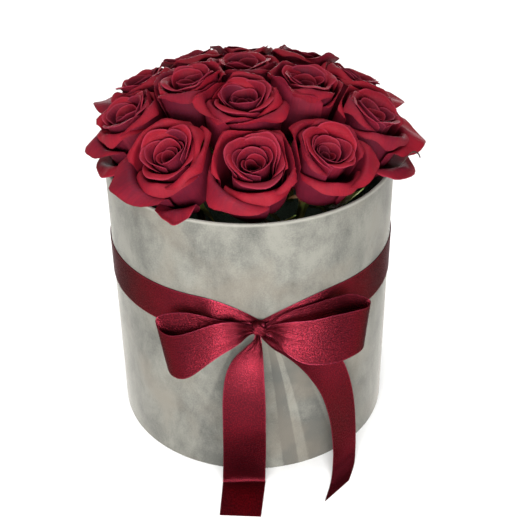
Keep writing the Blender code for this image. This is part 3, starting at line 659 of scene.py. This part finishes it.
class Rose:
    """Where one rose stands: its frame, with the hip's top at the origin and Z up the bloom."""

    def __init__(self, name, azimuth, radius, height, lean, turn, size, openness):
        self.name = name
        self.turn = turn
        self.size = size
        self.openness = openness
        a, tilt = math.radians(azimuth), math.radians(lean)
        self.radial = Vector((math.sin(a), -math.cos(a), 0))
        self.side = Vector((math.cos(a), math.sin(a), 0))
        self.tilt = tilt
        axis = self.leaning(1)
        heart = self.radial * radius * MM + Vector((0, 0, height * MM))
        self.hip = heart - axis * HEART_HEIGHT * size
        self.middle = heart - axis * MEETING_DEPTH
        turned_to = Matrix((self.side, axis.cross(self.side), axis)).transposed()
        self.frame = Matrix.Translation(self.hip) @ turned_to.to_4x4()
        self.faces = []

    def leaning(self, share):
        """A direction that leans outwards by this share of the bloom's lean."""
        angle = self.tilt * share
        return self.radial * math.sin(angle) + Vector((0, 0, math.cos(angle)))

    def meet(self, other):
        """Shares out the room between two roses with a plane, nearer to the smaller one."""
        apart = other.middle - self.middle
        share = self.size / (self.size + other.size)
        self.faces.append((self.middle + apart * share, apart.normalized()))

    def place(self, points):
        """Points of the rose's own frame as world points."""
        return points @ np.array(self.frame.to_3x3()).T + np.array(self.hip)

    def overrun(self, points):
        """How far the farthest of these points reaches past the rose's room."""
        over = [-1.0]
        for at, normal in self.faces:
            over.append(((points - np.array(at)) @ np.array(normal)).max() + CELL_MARGIN)
        reach = np.hypot(points[:, 0], points[:, 1])
        beside_wall = reach > BOX_RADIUS - BOX_WALL - RIM_CLEARANCE
        if beside_wall.any():
            over.append(BOX_HEIGHT + RIM_CLEARANCE - points[beside_wall, 2].min())
        return max(over)

    def pressed(self, points, layer, v):
        """The points, those past the rose's room laid along its faces, the outer layers last.

        The upper part of a petal is lifted clear of the box's rim, and the rest stays inside.
        """
        points = points.copy()
        margin = CELL_MARGIN + layer * LAYER_STEP
        for at, normal in self.faces:
            normal = np.array(normal)
            over = np.maximum(0, (points - np.array(at)) @ normal + margin)
            points -= (over * (1 - LEFT_PROUD))[:, None] * normal
        inside = BOX_RADIUS - BOX_WALL - RIM_CLEARANCE
        over_rim = BOX_HEIGHT + RIM_CLEARANCE
        reach = np.hypot(points[:, 0], points[:, 1])
        lifted = smooth((v - 0.5) / 0.12) * smooth((reach - inside + NEAR_RIM) / (0.8 * NEAR_RIM))
        points[:, 2] += np.maximum(0, over_rim - points[:, 2]) * lifted
        in_box = (reach > inside) & (points[:, 2] < over_rim - 0.1 * MM)
        points[in_box, :2] *= (inside / reach[in_box])[:, None]
        return points


def all_roses():
    """Every rose, with its room shared out with its neighbours."""
    roses = [Rose(name, *place) for name, place in ROSES.items()]
    for rose in roses:
        for other in roses:
            if other is not rose and (other.middle - rose.middle).length < NEIGHBOURS_WITHIN:
                rose.meet(other)
    return roses


def petal_surface(petal, u, v):
    """Points of a petal in its rose's frame, for u across and v from the claw to the lip.

    The line up the petal is integrated from the angle at which it climbs, as in the frame.
    """
    sides = np.abs(u)
    length = petal["crest"] + petal["bend"] + petal["tail"]
    tip = petal["tip"] * np.exp(-((u / petal["tip_width"]) ** 2))
    rise = v * (1 + tip - petal["shoulder"] * sides ** petal["squareness"])
    steps = np.linspace(0, 1, LINE_STEPS + 1)[:, None]
    arc = steps * rise * length
    climb = petal["foot"] + (petal["wall"] - petal["foot"]) * smooth(arc / FOOT_ARC)
    climb = climb + (petal["collar"] - petal["wall"]) * smooth((arc - FOOT_ARC) / FOOT_ARC)
    crest = petal["crest"] - petal["side_drop"] * sides**1.6
    climb = np.radians(climb - petal["fold"] * smooth((arc - crest) / petal["bend"]))
    run = rise * length / LINE_STEPS
    out, up = np.cos(climb), np.sin(climb)
    r = petal["start"] + (out.sum(0) - 0.5 * (out[0] + out[-1])) * run
    z = petal["base"] + (up.sum(0) - 0.5 * (up[0] + up[-1])) * run
    r = r + petal["swell"] * smooth(rise / 0.3)
    spread = np.minimum(1, petal["cup"] / np.maximum(r, 1)) ** 0.8
    widen = petal["claw"] + (1 - petal["claw"]) * smooth(rise / 0.5)
    angle = np.radians(petal["turn"] + petal["half_angle"] * u * widen * spread)
    lip = smooth((rise * length - crest) / petal["bend"])
    r = r + petal["roll"] * smooth((sides - 0.5) / 0.5) * lip
    r = r + (petal["spiral"] * u + petal["flat"] * u**2) * smooth(rise / 0.35)
    waved = petal["wave"] * smooth((rise - 0.5) / 0.5)
    phase = petal["phase"]
    r = r + waved * np.sin(3.1 * u + phase)
    z = z + waved * np.sin(4.7 * u + 1.7 * phase)
    ruffled = petal["ruffle"] * lip
    z = z + ruffled * np.sin(8.3 * u + 2.3 * phase + 4 * rise)
    r = r - ruffled * 0.8 * np.exp(-((u / 0.16) ** 2)) + ruffled * 0.6 * np.sin(6.7 * u - phase)
    return np.stack([r * np.sin(angle), -r * np.cos(angle), z], axis=-1) * MM


def droop_of(rose, turn):
    """How far a petal with this turn faces outwards and down, as a share of the most."""
    return max(0, math.cos(math.radians(turn))) * rose.tilt / MOST_LEAN


def guard_petal(rose, k, draw):
    """The k-th of the wide outer petals. Its lip folds out, and the first one's the farthest."""
    turn = rose.turn + GOLDEN_ANGLE * k + draw(6)
    droop = droop_of(rose, turn)
    fold, tail = SPREAD.get(rose.name, SPREAD_ELSEWHERE) if k == 0 else (142, 2.6)
    return dict(
        turn=turn, start=4.6, base=1.2, swell=4.4 - 1.3 * k,
        foot=31, wall=84, collar=88,
        crest=39 + 0.4 * k - (9.5 - 1.2 * k) * droop + draw(0.4),
        bend=6 if k == 0 else 4.6, fold=fold + draw(6), tail=tail,
        side_drop=4.5, shoulder=0.26 if k == 0 else 0.2, squareness=2.1,
        cup=19.5 - 1.3 * k, half_angle=70, claw=0.5,
        roll=1.2, wave=0.5, phase=draw(3), ruffle=0.8,
        tip=0.1 if k == 0 else 0.07, tip_width=0.2 if k == 0 else 0.26,
        spiral=0.6, flat=0.5,
    )


def hanging_petal(rose):
    """The low petal outside the others, which leans out and hangs over the rim."""
    turn, crest, wall, tail, half_angle = HANGING[rose.name]
    return dict(
        turn=turn, start=4.6, base=1.2, swell=4.4,
        foot=31, wall=wall, collar=wall - 4, crest=crest, bend=6, fold=75,
        tail=tail, side_drop=3, shoulder=0.26, squareness=2, cup=21,
        half_angle=half_angle, claw=0.5, roll=1.2, wave=0.7, phase=1,
        ruffle=0.8, tip=0.12, tip_width=0.3, spiral=0, flat=0.5,
    )


def inner_petal(rose, k, draw):
    """The k-th of the narrower petals that stand round the heart."""
    turn = rose.turn + 60 + GOLDEN_ANGLE * k + draw(7)
    droop = droop_of(rose, turn)
    return dict(
        turn=turn, start=4.4, base=2, swell=-2.8 - 1.5 * k,
        foot=33, wall=84, collar=88,
        crest=38.5 - 0.6 * k - (3.5 - k) * droop, bend=5, fold=88 - 16 * k + draw(8),
        tail=0.6, side_drop=2.2, shoulder=0.16, squareness=2.6,
        cup=12.8 - 1.5 * k, half_angle=68, claw=0.6,
        roll=0.5, wave=0.3, phase=draw(3), ruffle=0.3, tip=0.02, tip_width=0.3,
        spiral=0.6, flat=0.4,
    )


def middle_petal(rose, k, draw):
    """The k-th of the petals between the inner ones."""
    petal = inner_petal(rose, k, draw)
    petal.update(turn=petal["turn"] + 95, swell=-3.5 - 1.5 * k, crest=petal["crest"] - 0.4)
    return petal


def heart_petal(rose, k, draw):
    """The k-th of the petals wound round each other in the heart, lower towards its middle."""
    share = k / (HEARTS - 1)
    radius = 8.9 - 7.4 * share**0.9
    return dict(
        turn=rose.turn + 200 + GOLDEN_ANGLE * k + draw(12),
        start=radius - 0.6, base=9, swell=0, foot=84, wall=88,
        collar=90 + 4 * share, crest=27.5 - 9.5 * share**1.3 + draw(0.5), bend=3.5,
        fold=42 - 26 * share + draw(8), tail=0.3,
        side_drop=1, shoulder=0.13, squareness=2.5,
        cup=99, half_angle=74 + 60 * share, claw=0.8,
        roll=0.2, wave=0.4, phase=draw(3), ruffle=0.2, tip=0.02, tip_width=0.3,
        spiral=0.75 - 0.2 * share, flat=0.7 * (1 - share),
    )


def fitted(rose, petal, grow):
    """The petal, stood up and drawn in until little of it is left past its rose's room."""
    edge = np.linspace(-1, 1, 9)
    u, v = (a.ravel() for a in np.meshgrid(edge, np.linspace(0.3, 1, 9)))
    for squeeze in np.linspace(0, 1, 21):
        tried = dict(petal)
        opened = rose.openness * (1 - squeeze)
        tried["fold"] = petal["fold"] * (0.12 + 0.88 * opened)
        tried["wall"] = petal["wall"] + STANDS_UP[0] * squeeze
        tried["collar"] = petal["collar"] + STANDS_UP[1] * squeeze
        tried["tail"] = petal["tail"] * opened**2
        tried["roll"] = petal["roll"] * opened
        if rose.overrun(rose.place(petal_surface(tried, u, v) * grow)) <= PRESSED:
            break
    return tried


def petals_of(rose):
    """The petals of one rose with their layers, the frame's own petals first."""
    random = np.random.default_rng(int(rose.turn) + 7)

    def draw(most):
        return float(random.uniform(-most, most))

    framed = [guard_petal(rose, k, draw) for k in range(GUARDS)]
    framed += [inner_petal(rose, k, draw) for k in range(INNERS)]
    petals = [(k, fitted(rose, petal, rose.size)) for k, petal in enumerate(framed)]
    if rose.name in HANGING:
        petals.append((0, fitted(rose, hanging_petal(rose), rose.size)))
    petals += [(GUARDS, fitted(rose, middle_petal(rose, k, draw), rose.size))
               for k in range(MIDDLES)]
    petals += [(GUARDS + INNERS, heart_petal(rose, k, draw)) for k in range(HEARTS)]
    return petals


def make_bloom(rose, materials, thickness):
    """A bloom of thin separate petals, which are thinnest along their lips."""
    template, u, v = grid(PETAL_ACROSS, PETAL_ALONG, "petal")
    v = np.interp(v, *PETAL_ROWS)
    uv = np.stack([(u + 1) / 2, v], axis=-1)
    full = template.vertex_groups.new(name="full")
    whole = [int(i) for i in np.flatnonzero((np.abs(u) < 0.95) & (v < 0.98))]
    full.add(whole, 1, "REPLACE")
    full.add([i for i in range(len(u)) if i not in set(whole)], PETAL_EDGE_THINNING[0], "REPLACE")
    tones = np.random.default_rng(int(rose.turn) + 70)
    petals = petals_of(rose)
    made = []
    for k, (layer, petal) in enumerate(petals):
        copy = template.copy()
        copy.data = template.data.copy()
        bpy.context.scene.collection.objects.link(copy)
        points = rose.place(petal_surface(petal, u, v) * rose.size)
        lay_out(copy, rose.pressed(points, layer, v) if layer < GUARDS + INNERS else points, uv)
        # Painted shade: the heart's petals, sunk in the middle of the bloom, are painted darker
        shaded = HEART_SHADE if k >= len(petals) - HEARTS else 0
        note(copy, tone=float(tones.uniform(-1, 1)) - shaded, age=1.0 if k < GUARDS else 0.0)
        made.append(copy)
    bpy.data.objects.remove(template)
    choose(*made)
    bpy.ops.object.join()
    bloom = made[0]
    for material in materials:
        bloom.data.materials.append(material)
    apply_modifier(bloom, "SOLIDIFY", thickness=thickness, offset=0, vertex_group="full",
                   thickness_vertex_group=PETAL_EDGE_THINNING[1], material_offset=1)
    shade(bloom, degrees=50)
    return finish_piece(bloom, f"rose_{rose.name}", "rose_petal", f"bloom_{rose.name}")


class ROSEBOX_OT_blooms(bpy.types.Operator):
    """Make the fourteen red roses out of thin petals"""

    bl_idname = "rosebox.blooms"
    bl_label = "Roses"

    def execute(self, context):
        colours, sizes = context.scene.rose_box_colours, context.scene.rose_box_sizes
        inside = petal_material("rose petal, inner face", colours.petal_bright,
                                colours.petal_shaded, colours.petal_edge_highlight, 0.06)
        outside = petal_material("rose petal, outer face", colours.petal_outside,
                                 colours.petal_shaded, colours.petal_edge_highlight, 0.05)
        for rose in all_roses():
            make_bloom(rose, (outside, inside), sizes.petal_thickness)
        return {"FINISHED"}


def stem_path(rose):
    """(point, radius) pairs down a stem: the hip, two bends and the straight foot."""
    axis = rose.leaning(1)
    path = [(rose.hip - axis * down * MM, HIP_RADIUS * share) for down, share in HIP_SWELL]
    path.append((rose.hip - axis * HIP_LENGTH, STEM_RADIUS))
    for share in (0.5 + STEM_LEAN_SHARE / 2, STEM_LEAN_SHARE):
        path.append((path[-1][0] - rose.leaning(share) * STEM_BEND, STEM_RADIUS))
    foot = rose.leaning(STEM_LEAN_SHARE)
    reach = (path[-1][0].z - STEM_BOTTOM) / foot.z
    path.append((path[-1][0] - foot * reach, STEM_RADIUS))
    return path


def make_tube(rose, path):
    """A round tube along a stem's path: a cylinder of many rings, each moved to its place."""
    obj = basic(bpy.ops.mesh.primitive_cylinder_add, vertices=STEM_SIDES, radius=1, depth=1,
                end_fill_type="NGON")
    with editing(obj):
        for k in range(1, len(path) - 1):
            bpy.ops.mesh.bisect(plane_co=(0, 0, 0.5 - k / (len(path) - 1)), plane_no=(0, 0, 1))
            bpy.ops.mesh.select_all(action="SELECT")
    for vert in obj.data.vertices:
        k = round((0.5 - vert.co.z) * (len(path) - 1))
        point, radius = path[k]
        before, after = path[max(k - 1, 0)][0], path[min(k + 1, len(path) - 1)][0]
        other = (before - after).normalized().cross(rose.side)
        vert.co = point + radius * (rose.side * vert.co.x + other * vert.co.y)
    with editing(obj):
        bpy.ops.mesh.normals_make_consistent(inside=False)
    return obj


def sepal_surface(rose, turn, reach, u, v):
    """A sepal: a tapering blade that leaves the hip and bends down, folded along its middle."""
    bend = np.radians(20 - 75 * v)
    r = SEPAL_ROOT + reach * v * np.cos(bend / 2)
    z = reach * v * np.sin(bend / 2) - 2.2 * MM - (1.5 * np.abs(u) * (1 - v)) * MM
    lobes = 1 + 0.25 * np.sin(11 * v) * (1 - v)
    half = SEPAL_HALF_WIDTH * (1 - 0.93 * v**1.2) * u * lobes
    c, s = math.cos(turn), math.sin(turn)
    return rose.place(np.stack([r * s + half * c, -r * c + half * s, z], axis=-1))


def leaf_surface(rose, tip, u, v):
    """A leaf: a narrow stalk that opens into a toothed, pointed blade, veined on both sides."""
    root = rose.hip - (rose.frame.to_3x3() @ Vector((0, 0, LEAF_ROOT)))
    along = Vector(tip) * MM - root
    across = along.cross(Vector((0, 0, 1))).normalized()
    up = across.cross(along).normalized()
    swell = np.sin(np.pi * smooth((v - 0.35) / 0.65) ** 0.8)
    teeth = 1 + 0.12 * ((v * LEAF_TEETH * 2.2) % 1) * np.abs(u) ** 3
    half = (0.7 * MM + LEAF_HALF_WIDTH * swell * teeth) * u
    veins = 0.25 * MM * np.sin(2 * np.pi * (v * 14 - np.abs(u) * 1.6)) * np.abs(u) * swell
    rise = 1.2 * MM * np.abs(u) * swell - 6 * MM * np.sin(np.pi * v) + veins
    return np.array(root) + np.outer(v, along) + np.outer(half, across) + np.outer(rise, up)


def curled_surface(points, u, v):
    """A thin sepal that runs through points of (distance from the axis, azimuth, height)."""
    line = np.array([(r * math.sin(a), -r * math.cos(a), z)
                     for r, a, z in ((r, math.radians(a), z) for r, a, z in points)])
    middle = through(line, v) * MM
    half = CURL_HALF_WIDTH * (1 - 0.8 * v) * u
    return middle + np.outer(half, (0.5, 0.85, 0.2))


def make_stem(rose, green):
    """A stem with its hip, five sepals and on some a leaf."""
    parts = []

    def blade(across, along, surface):
        made, u, v = grid(across, along, "green")
        lay_out(made, surface(u, v))
        made.data.materials.append(green)
        parts.append(made)
        return made

    edge = np.linspace(-1, 1, 3)
    tried_u, tried_v = (a.ravel() for a in np.meshgrid(edge, np.linspace(0.1, 1, 5)))
    for k in range(SEPALS):
        turn = math.radians(rose.turn + 36) + math.tau * k / SEPALS
        for share in np.linspace(1, 0.3, 8):
            reach = SEPAL_LENGTH * share
            if rose.overrun(sepal_surface(rose, turn, reach, tried_u, tried_v)) <= 0:
                break
        blade(*SEPAL_STEPS, lambda u, v: sepal_surface(rose, turn, reach, u, v))
    if rose.name in CURLS:
        curl = blade(*CURL_STEPS, lambda u, v: curled_surface(CURLS[rose.name], u, v))
        curl.data.materials.append(dried_material())
        curl.data.polygons.foreach_set("material_index", [1] * len(curl.data.polygons))
    if rose.name in LEAVES:
        blade(*LEAF_STEPS, lambda u, v: leaf_surface(rose, LEAVES[rose.name], u, v))
    choose(*parts)
    bpy.ops.object.join()
    apply_modifier(parts[0], "SOLIDIFY", thickness=GREENS_THICKNESS, offset=0)
    stem = make_tube(rose, stem_path(rose))
    stem.data.materials.append(green)
    choose(stem, parts[0])
    bpy.ops.object.join()
    shade(stem, degrees=45)
    return finish_piece(stem, f"greens_{rose.name}", "rose_stem", f"stem_{rose.name}")


class ROSEBOX_OT_stems(bpy.types.Operator):
    """Make the roses' stems with their hips, sepals and leaves"""

    bl_idname = "rosebox.stems"
    bl_label = "Stems and sepals"

    def execute(self, context):
        green = green_material(context.scene.rose_box_colours)
        for rose in all_roses():
            make_stem(rose, green)
        return {"FINISHED"}


class ROSEBOX_OT_foam(bpy.types.Operator):
    """Give the block of floral foam its open cells"""

    bl_idname = "rosebox.foam"
    bl_label = "Floral foam"

    def execute(self, context):
        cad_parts["foam"].material_slots[0].material = foam_material(
            context.scene.rose_box_colours
        )
        return {"FINISHED"}


class ROSEBOX_OT_box(bpy.types.Operator):
    """Make the round box of velvet over board, open at the top"""

    bl_idname = "rosebox.box"
    bl_label = "Velvet box"

    def execute(self, context):
        sizes = context.scene.rose_box_sizes
        box = basic(bpy.ops.mesh.primitive_cylinder_add, vertices=BOX_SIDES, radius=BOX_RADIUS,
                    depth=BOX_HEIGHT, end_fill_type="NGON", location=(0, 0, BOX_HEIGHT / 2))
        bpy.ops.object.transform_apply(location=True, rotation=False, scale=False)
        with editing_faces(box, lambda middle, normal: normal.z > 0.9):
            bpy.ops.mesh.inset(thickness=BOX_WALL)
            bpy.ops.mesh.extrude_region_move(
                TRANSFORM_OT_translate={"value": (0, 0, BOX_BASE - BOX_HEIGHT)}
            )
        for test, offset, segments in (
            (lambda middle, normal: normal.z > 0.9 and middle.z > BOX_HEIGHT / 2,
             sizes.rim_softness, 5),
            (lambda middle, normal: normal.z < -0.9, BOX_FOOT_SOFTNESS, 3),
        ):
            with editing_faces(box, test):
                bpy.ops.mesh.region_to_loop()
                bpy.ops.mesh.bevel(offset=offset, segments=segments, affect="EDGES")
        box.data.materials.append(velvet_material(context.scene.rose_box_colours))
        shade(box, degrees=40)
        finish_piece(box, "velvet_box", "grey_velvet", "box")
        return {"FINISHED"}


def through(points, t):
    """A smooth curve through evenly timed points, read at each t from 0 to 1."""
    points = np.array(points, float)
    ends = np.vstack([2 * points[0] - points[1], points, 2 * points[-1] - points[-2]])
    place = t * (len(points) - 1)
    k = np.minimum(place.astype(int), len(points) - 2)
    f = (place - k)[:, None]
    a, b, c, d = (ends[k + j] for j in range(4))
    return b + 0.5 * f * (c - a + f * (2 * a - 5 * b + 4 * c - d + f * (3 * (b - c) + d - a)))


def ribbon_surface(edges, u, v):
    """Points of a ribbon's middle surface between its two edges."""
    side = ((1 + u) / 2)[:, None]
    first, second = through([p[0] for p in edges], v), through([p[1] for p in edges], v)
    return (first * (1 - side) + second * side) * MM


def make_strip(name, edges, along, gathered, crown, satin, sizes):
    """A length of satin ribbon: pleated where it is gathered at the knot, and crowned across."""
    strip, u, v = grid(STRIP_ACROSS, along, "ribbon")
    points = ribbon_surface(edges, u, v)
    step = 0.002
    across = ribbon_surface(edges, u + step, v) - ribbon_surface(edges, u - step, v)
    ahead = (ribbon_surface(edges, u, np.minimum(v + step, 1))
             - ribbon_surface(edges, u, np.maximum(v - step, 0)))
    normal = np.cross(across, ahead)
    normal /= np.linalg.norm(normal, axis=1)[:, None]
    near = sum(smooth(1 - np.abs(v - end) / GATHERED_SHARE) for end in gathered)
    pleats = sizes.pleat_depth * near * np.cos(2.5 * np.pi * u + 0.6)
    arched = np.interp(v, np.linspace(0, 1, len(crown)), crown) * MM * (1 - u**2)
    points = points + normal * (pleats + arched)[:, None]
    points[:, 2] = np.maximum(points[:, 2], sizes.ribbon_thickness / 2 + ABOVE_FLOOR)
    line = ribbon_surface(edges, np.zeros(LINE_POINTS), np.linspace(0, 1, LINE_POINTS))
    long = float(np.linalg.norm(np.diff(line, axis=0), axis=1).sum())
    lay_out(strip, points, np.stack([(u + 1) / 2 * RIBBON_WIDTH, v * long], axis=-1))
    apply_modifier(strip, "SOLIDIFY", thickness=sizes.ribbon_thickness, offset=0)
    strip.data.materials.append(satin)
    shade(strip, degrees=50)
    piece = finish_piece(strip, name, "burgundy_satin", f"bow_{name}")


class ROSEBOX_OT_band(bpy.types.Operator):
    """Make the satin band round the box, gathered behind the knot"""

    bl_idname = "rosebox.band"
    bl_label = "Ribbon band"

    def execute(self, context):
        sizes = context.scene.rose_box_sizes
        band, around, up = grid(*BAND_STEPS, "ribbon")
        turn, u = around * math.pi, 2 * up - 1
        off = (np.degrees(turn) - KNOT_AZIMUTH + 180) % 360 - 180
        within = np.where(off > 0, NARROWS_WITHIN["right"], NARROWS_WITHIN["left"])
        full = np.minimum(1, np.abs(off) / within)
        full = full * (2 - full)
        edges = [at_knot + (BAND_MIDDLE + half - at_knot) * full
                 for at_knot, half in zip(BAND_AT_KNOT, (-RIBBON_WIDTH / 2, RIBBON_WIDTH / 2))]
        height = edges[0] + (edges[1] - edges[0]) * (1 + u) / 2
        pleats = 0.5 + 0.5 * np.cos(3 * np.pi * u + 0.4 * np.sin(off / 7))
        stands = BAND_STANDS_OFF + sizes.ribbon_thickness / 2
        stands = stands + sizes.pleat_depth * (1 - full) * pleats
        bulge = smooth(np.abs(off) / 5) * smooth((within - np.abs(off)) / (0.3 * within))
        r = BOX_RADIUS + stands + BAND_BULGE * bulge * (1 - u**2)
        points = np.stack([r * np.sin(turn), -r * np.cos(turn), height], axis=-1)
        lay_out(band, points, np.stack([(u + 1) / 2 * RIBBON_WIDTH, turn * BOX_RADIUS], axis=-1))
        with editing(band):
            bpy.ops.mesh.remove_doubles(threshold=0.01 * MM)
            bpy.ops.mesh.normals_make_consistent(inside=False)
        apply_modifier(band, "SOLIDIFY", thickness=sizes.ribbon_thickness, offset=0)
        band.data.materials.append(satin_material(context.scene.rose_box_colours))
        shade(band, degrees=50)
        finish_piece(band, "band", "burgundy_satin", "ribbon_band")
        return {"FINISHED"}


class ROSEBOX_OT_bow(bpy.types.Operator):
    """Make the bow: its knot, two loops and two tails"""

    bl_idname = "rosebox.bow"
    bl_label = "Bow"

    def execute(self, context):
        sizes = context.scene.rose_box_sizes
        satin = bpy.data.materials["polyester satin, burgundy"]
        self.knot(satin)
        for name, (edges, along) in LOOPS.items():
            make_strip(name, edges, along, (0, 1), (0, 0), satin, sizes)
        for name, (edges, along) in TAILS.items():
            make_strip(name, edges, along, (0,), TAIL_CROWN, satin, sizes)
        return {"FINISHED"}

    def knot(self, satin):
        """The knot: a rounded lump with the pleats of the ribbon that is wrapped over it."""
        knot = basic(bpy.ops.mesh.primitive_uv_sphere_add, segments=64, ring_count=40, radius=1)
        knot.data.uv_layers[0].name = "ribbon"
        ball = points_of(knot)
        shaped = np.sign(ball) * np.abs(ball) ** 0.8
        across = shaped[:, 0] * math.cos(KNOT_SLANT) + shaped[:, 2] * math.sin(KNOT_SLANT)
        folds = np.abs(np.sin(1.9 * np.pi * across + 0.9)) ** 0.7
        shrink = 1 - 0.16 * (1 - folds) - 0.12 * smooth(np.abs(across) - 0.2)
        points = shaped * np.array(KNOT_SIZE) / 2 * shrink[:, None] + np.array(KNOT_MIDDLE)
        uv = np.stack([(across + 1) / 2 * RIBBON_WIDTH, shaped[:, 2] * 12 * MM], axis=-1)
        lay_out(knot, points, uv)
        knot.data.materials.append(satin)
        shade(knot, degrees=60)
        finish_piece(knot, "knot", "burgundy_satin", "bow_knot")


class ROSEBOX_OT_stage(bpy.types.Operator):
    """Lay the floor, hang the studio lights and set up the camera"""

    bl_idname = "rosebox.stage"
    bl_label = "Stage"

    def execute(self, context):
        scene = context.scene
        floor = basic(bpy.ops.mesh.primitive_plane_add, size=FLOOR_SIDE)
        floor.name = floor.data.name = "floor"
        floor.data.materials.append(floor_material(scene.rose_box_colours))
        floor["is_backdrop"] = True
        world = bpy.data.worlds.new("studio")
        world.use_nodes = True
        sky = world.node_tree.nodes["Background"]
        fill(sky, {"Color": (1, 1, 1), "Strength": SKY})
        scene.world = world
        for name, (place, sides, power) in SOFTBOXES.items():
            self.softbox(name, place, sides, power)
        scene.view_settings.view_transform = "Standard"
        lens = bpy.data.cameras.new("camera")
        lens.sensor_width, lens.lens = SENSOR, LENS
        camera = bpy.data.objects.new("camera", lens)
        scene.collection.objects.link(camera)
        pitch, yaw, roll = (math.radians(a) for a in CAMERA_TURNS)
        turned = (Matrix.Rotation(-yaw, 4, "Z") @ Matrix.Rotation(math.pi / 2 - pitch, 4, "X")
                  @ Matrix.Rotation(roll, 4, "Z"))
        camera.matrix_world = Matrix.Translation(CAMERA_PLACE) @ turned
        scene.camera = camera
        return {"FINISHED"}

    def softbox(self, name, place, sides, power):
        bpy.ops.object.light_add(type="AREA", location=place)
        light = bpy.context.object
        light.name = light.data.name = name
        light.data.shape = "RECTANGLE"
        light.data.size, light.data.size_y = sides
        light.data.energy = power
        aim = LIT_POINT - Vector(place)
        light.rotation_euler = aim.to_track_quat("-Z", "Y").to_euler()


STEPS = (
    ROSEBOX_OT_box,
    ROSEBOX_OT_foam,
    ROSEBOX_OT_stems,
    ROSEBOX_OT_blooms,
    ROSEBOX_OT_band,
    ROSEBOX_OT_bow,
    ROSEBOX_OT_stage,
)


class ROSEBOX_PT_panel(bpy.types.Panel):
    """The steps in the order in which the rose box is made."""

    bl_label = "Rose box"
    bl_space_type = "VIEW_3D"
    bl_region_type = "UI"
    bl_category = "Rose box"

    def draw(self, context):
        for group in (context.scene.rose_box_sizes, context.scene.rose_box_colours):
            for name in group.bl_rna.properties.keys():
                if name not in {"rna_type", "name"}:
                    self.layout.prop(group, name)
        for step in STEPS:
            self.layout.operator(step.bl_idname)


CLASSES = (RoseBoxSizes, RoseBoxColours, *STEPS, ROSEBOX_PT_panel)


def register():
    for each in CLASSES:
        bpy.utils.register_class(each)
    bpy.types.Scene.rose_box_sizes = bpy.props.PointerProperty(type=RoseBoxSizes)
    bpy.types.Scene.rose_box_colours = bpy.props.PointerProperty(type=RoseBoxColours)


def unregister():
    del bpy.types.Scene.rose_box_colours
    del bpy.types.Scene.rose_box_sizes
    for each in reversed(CLASSES):
        bpy.utils.unregister_class(each)


def main():
    register()
    bpy.ops.rosebox.box()
    bpy.ops.rosebox.foam()
    bpy.ops.rosebox.stems()
    bpy.ops.rosebox.blooms()
    bpy.ops.rosebox.band()
    bpy.ops.rosebox.bow()
    bpy.ops.rosebox.stage()
    plain = {"cad": cad_box, "visual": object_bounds()}
    for name, (low, high) in plain.items():
        plain[name] = [[float(x) for x in low], [float(x) for x in high]]


if __name__ == "__main__":
    main()
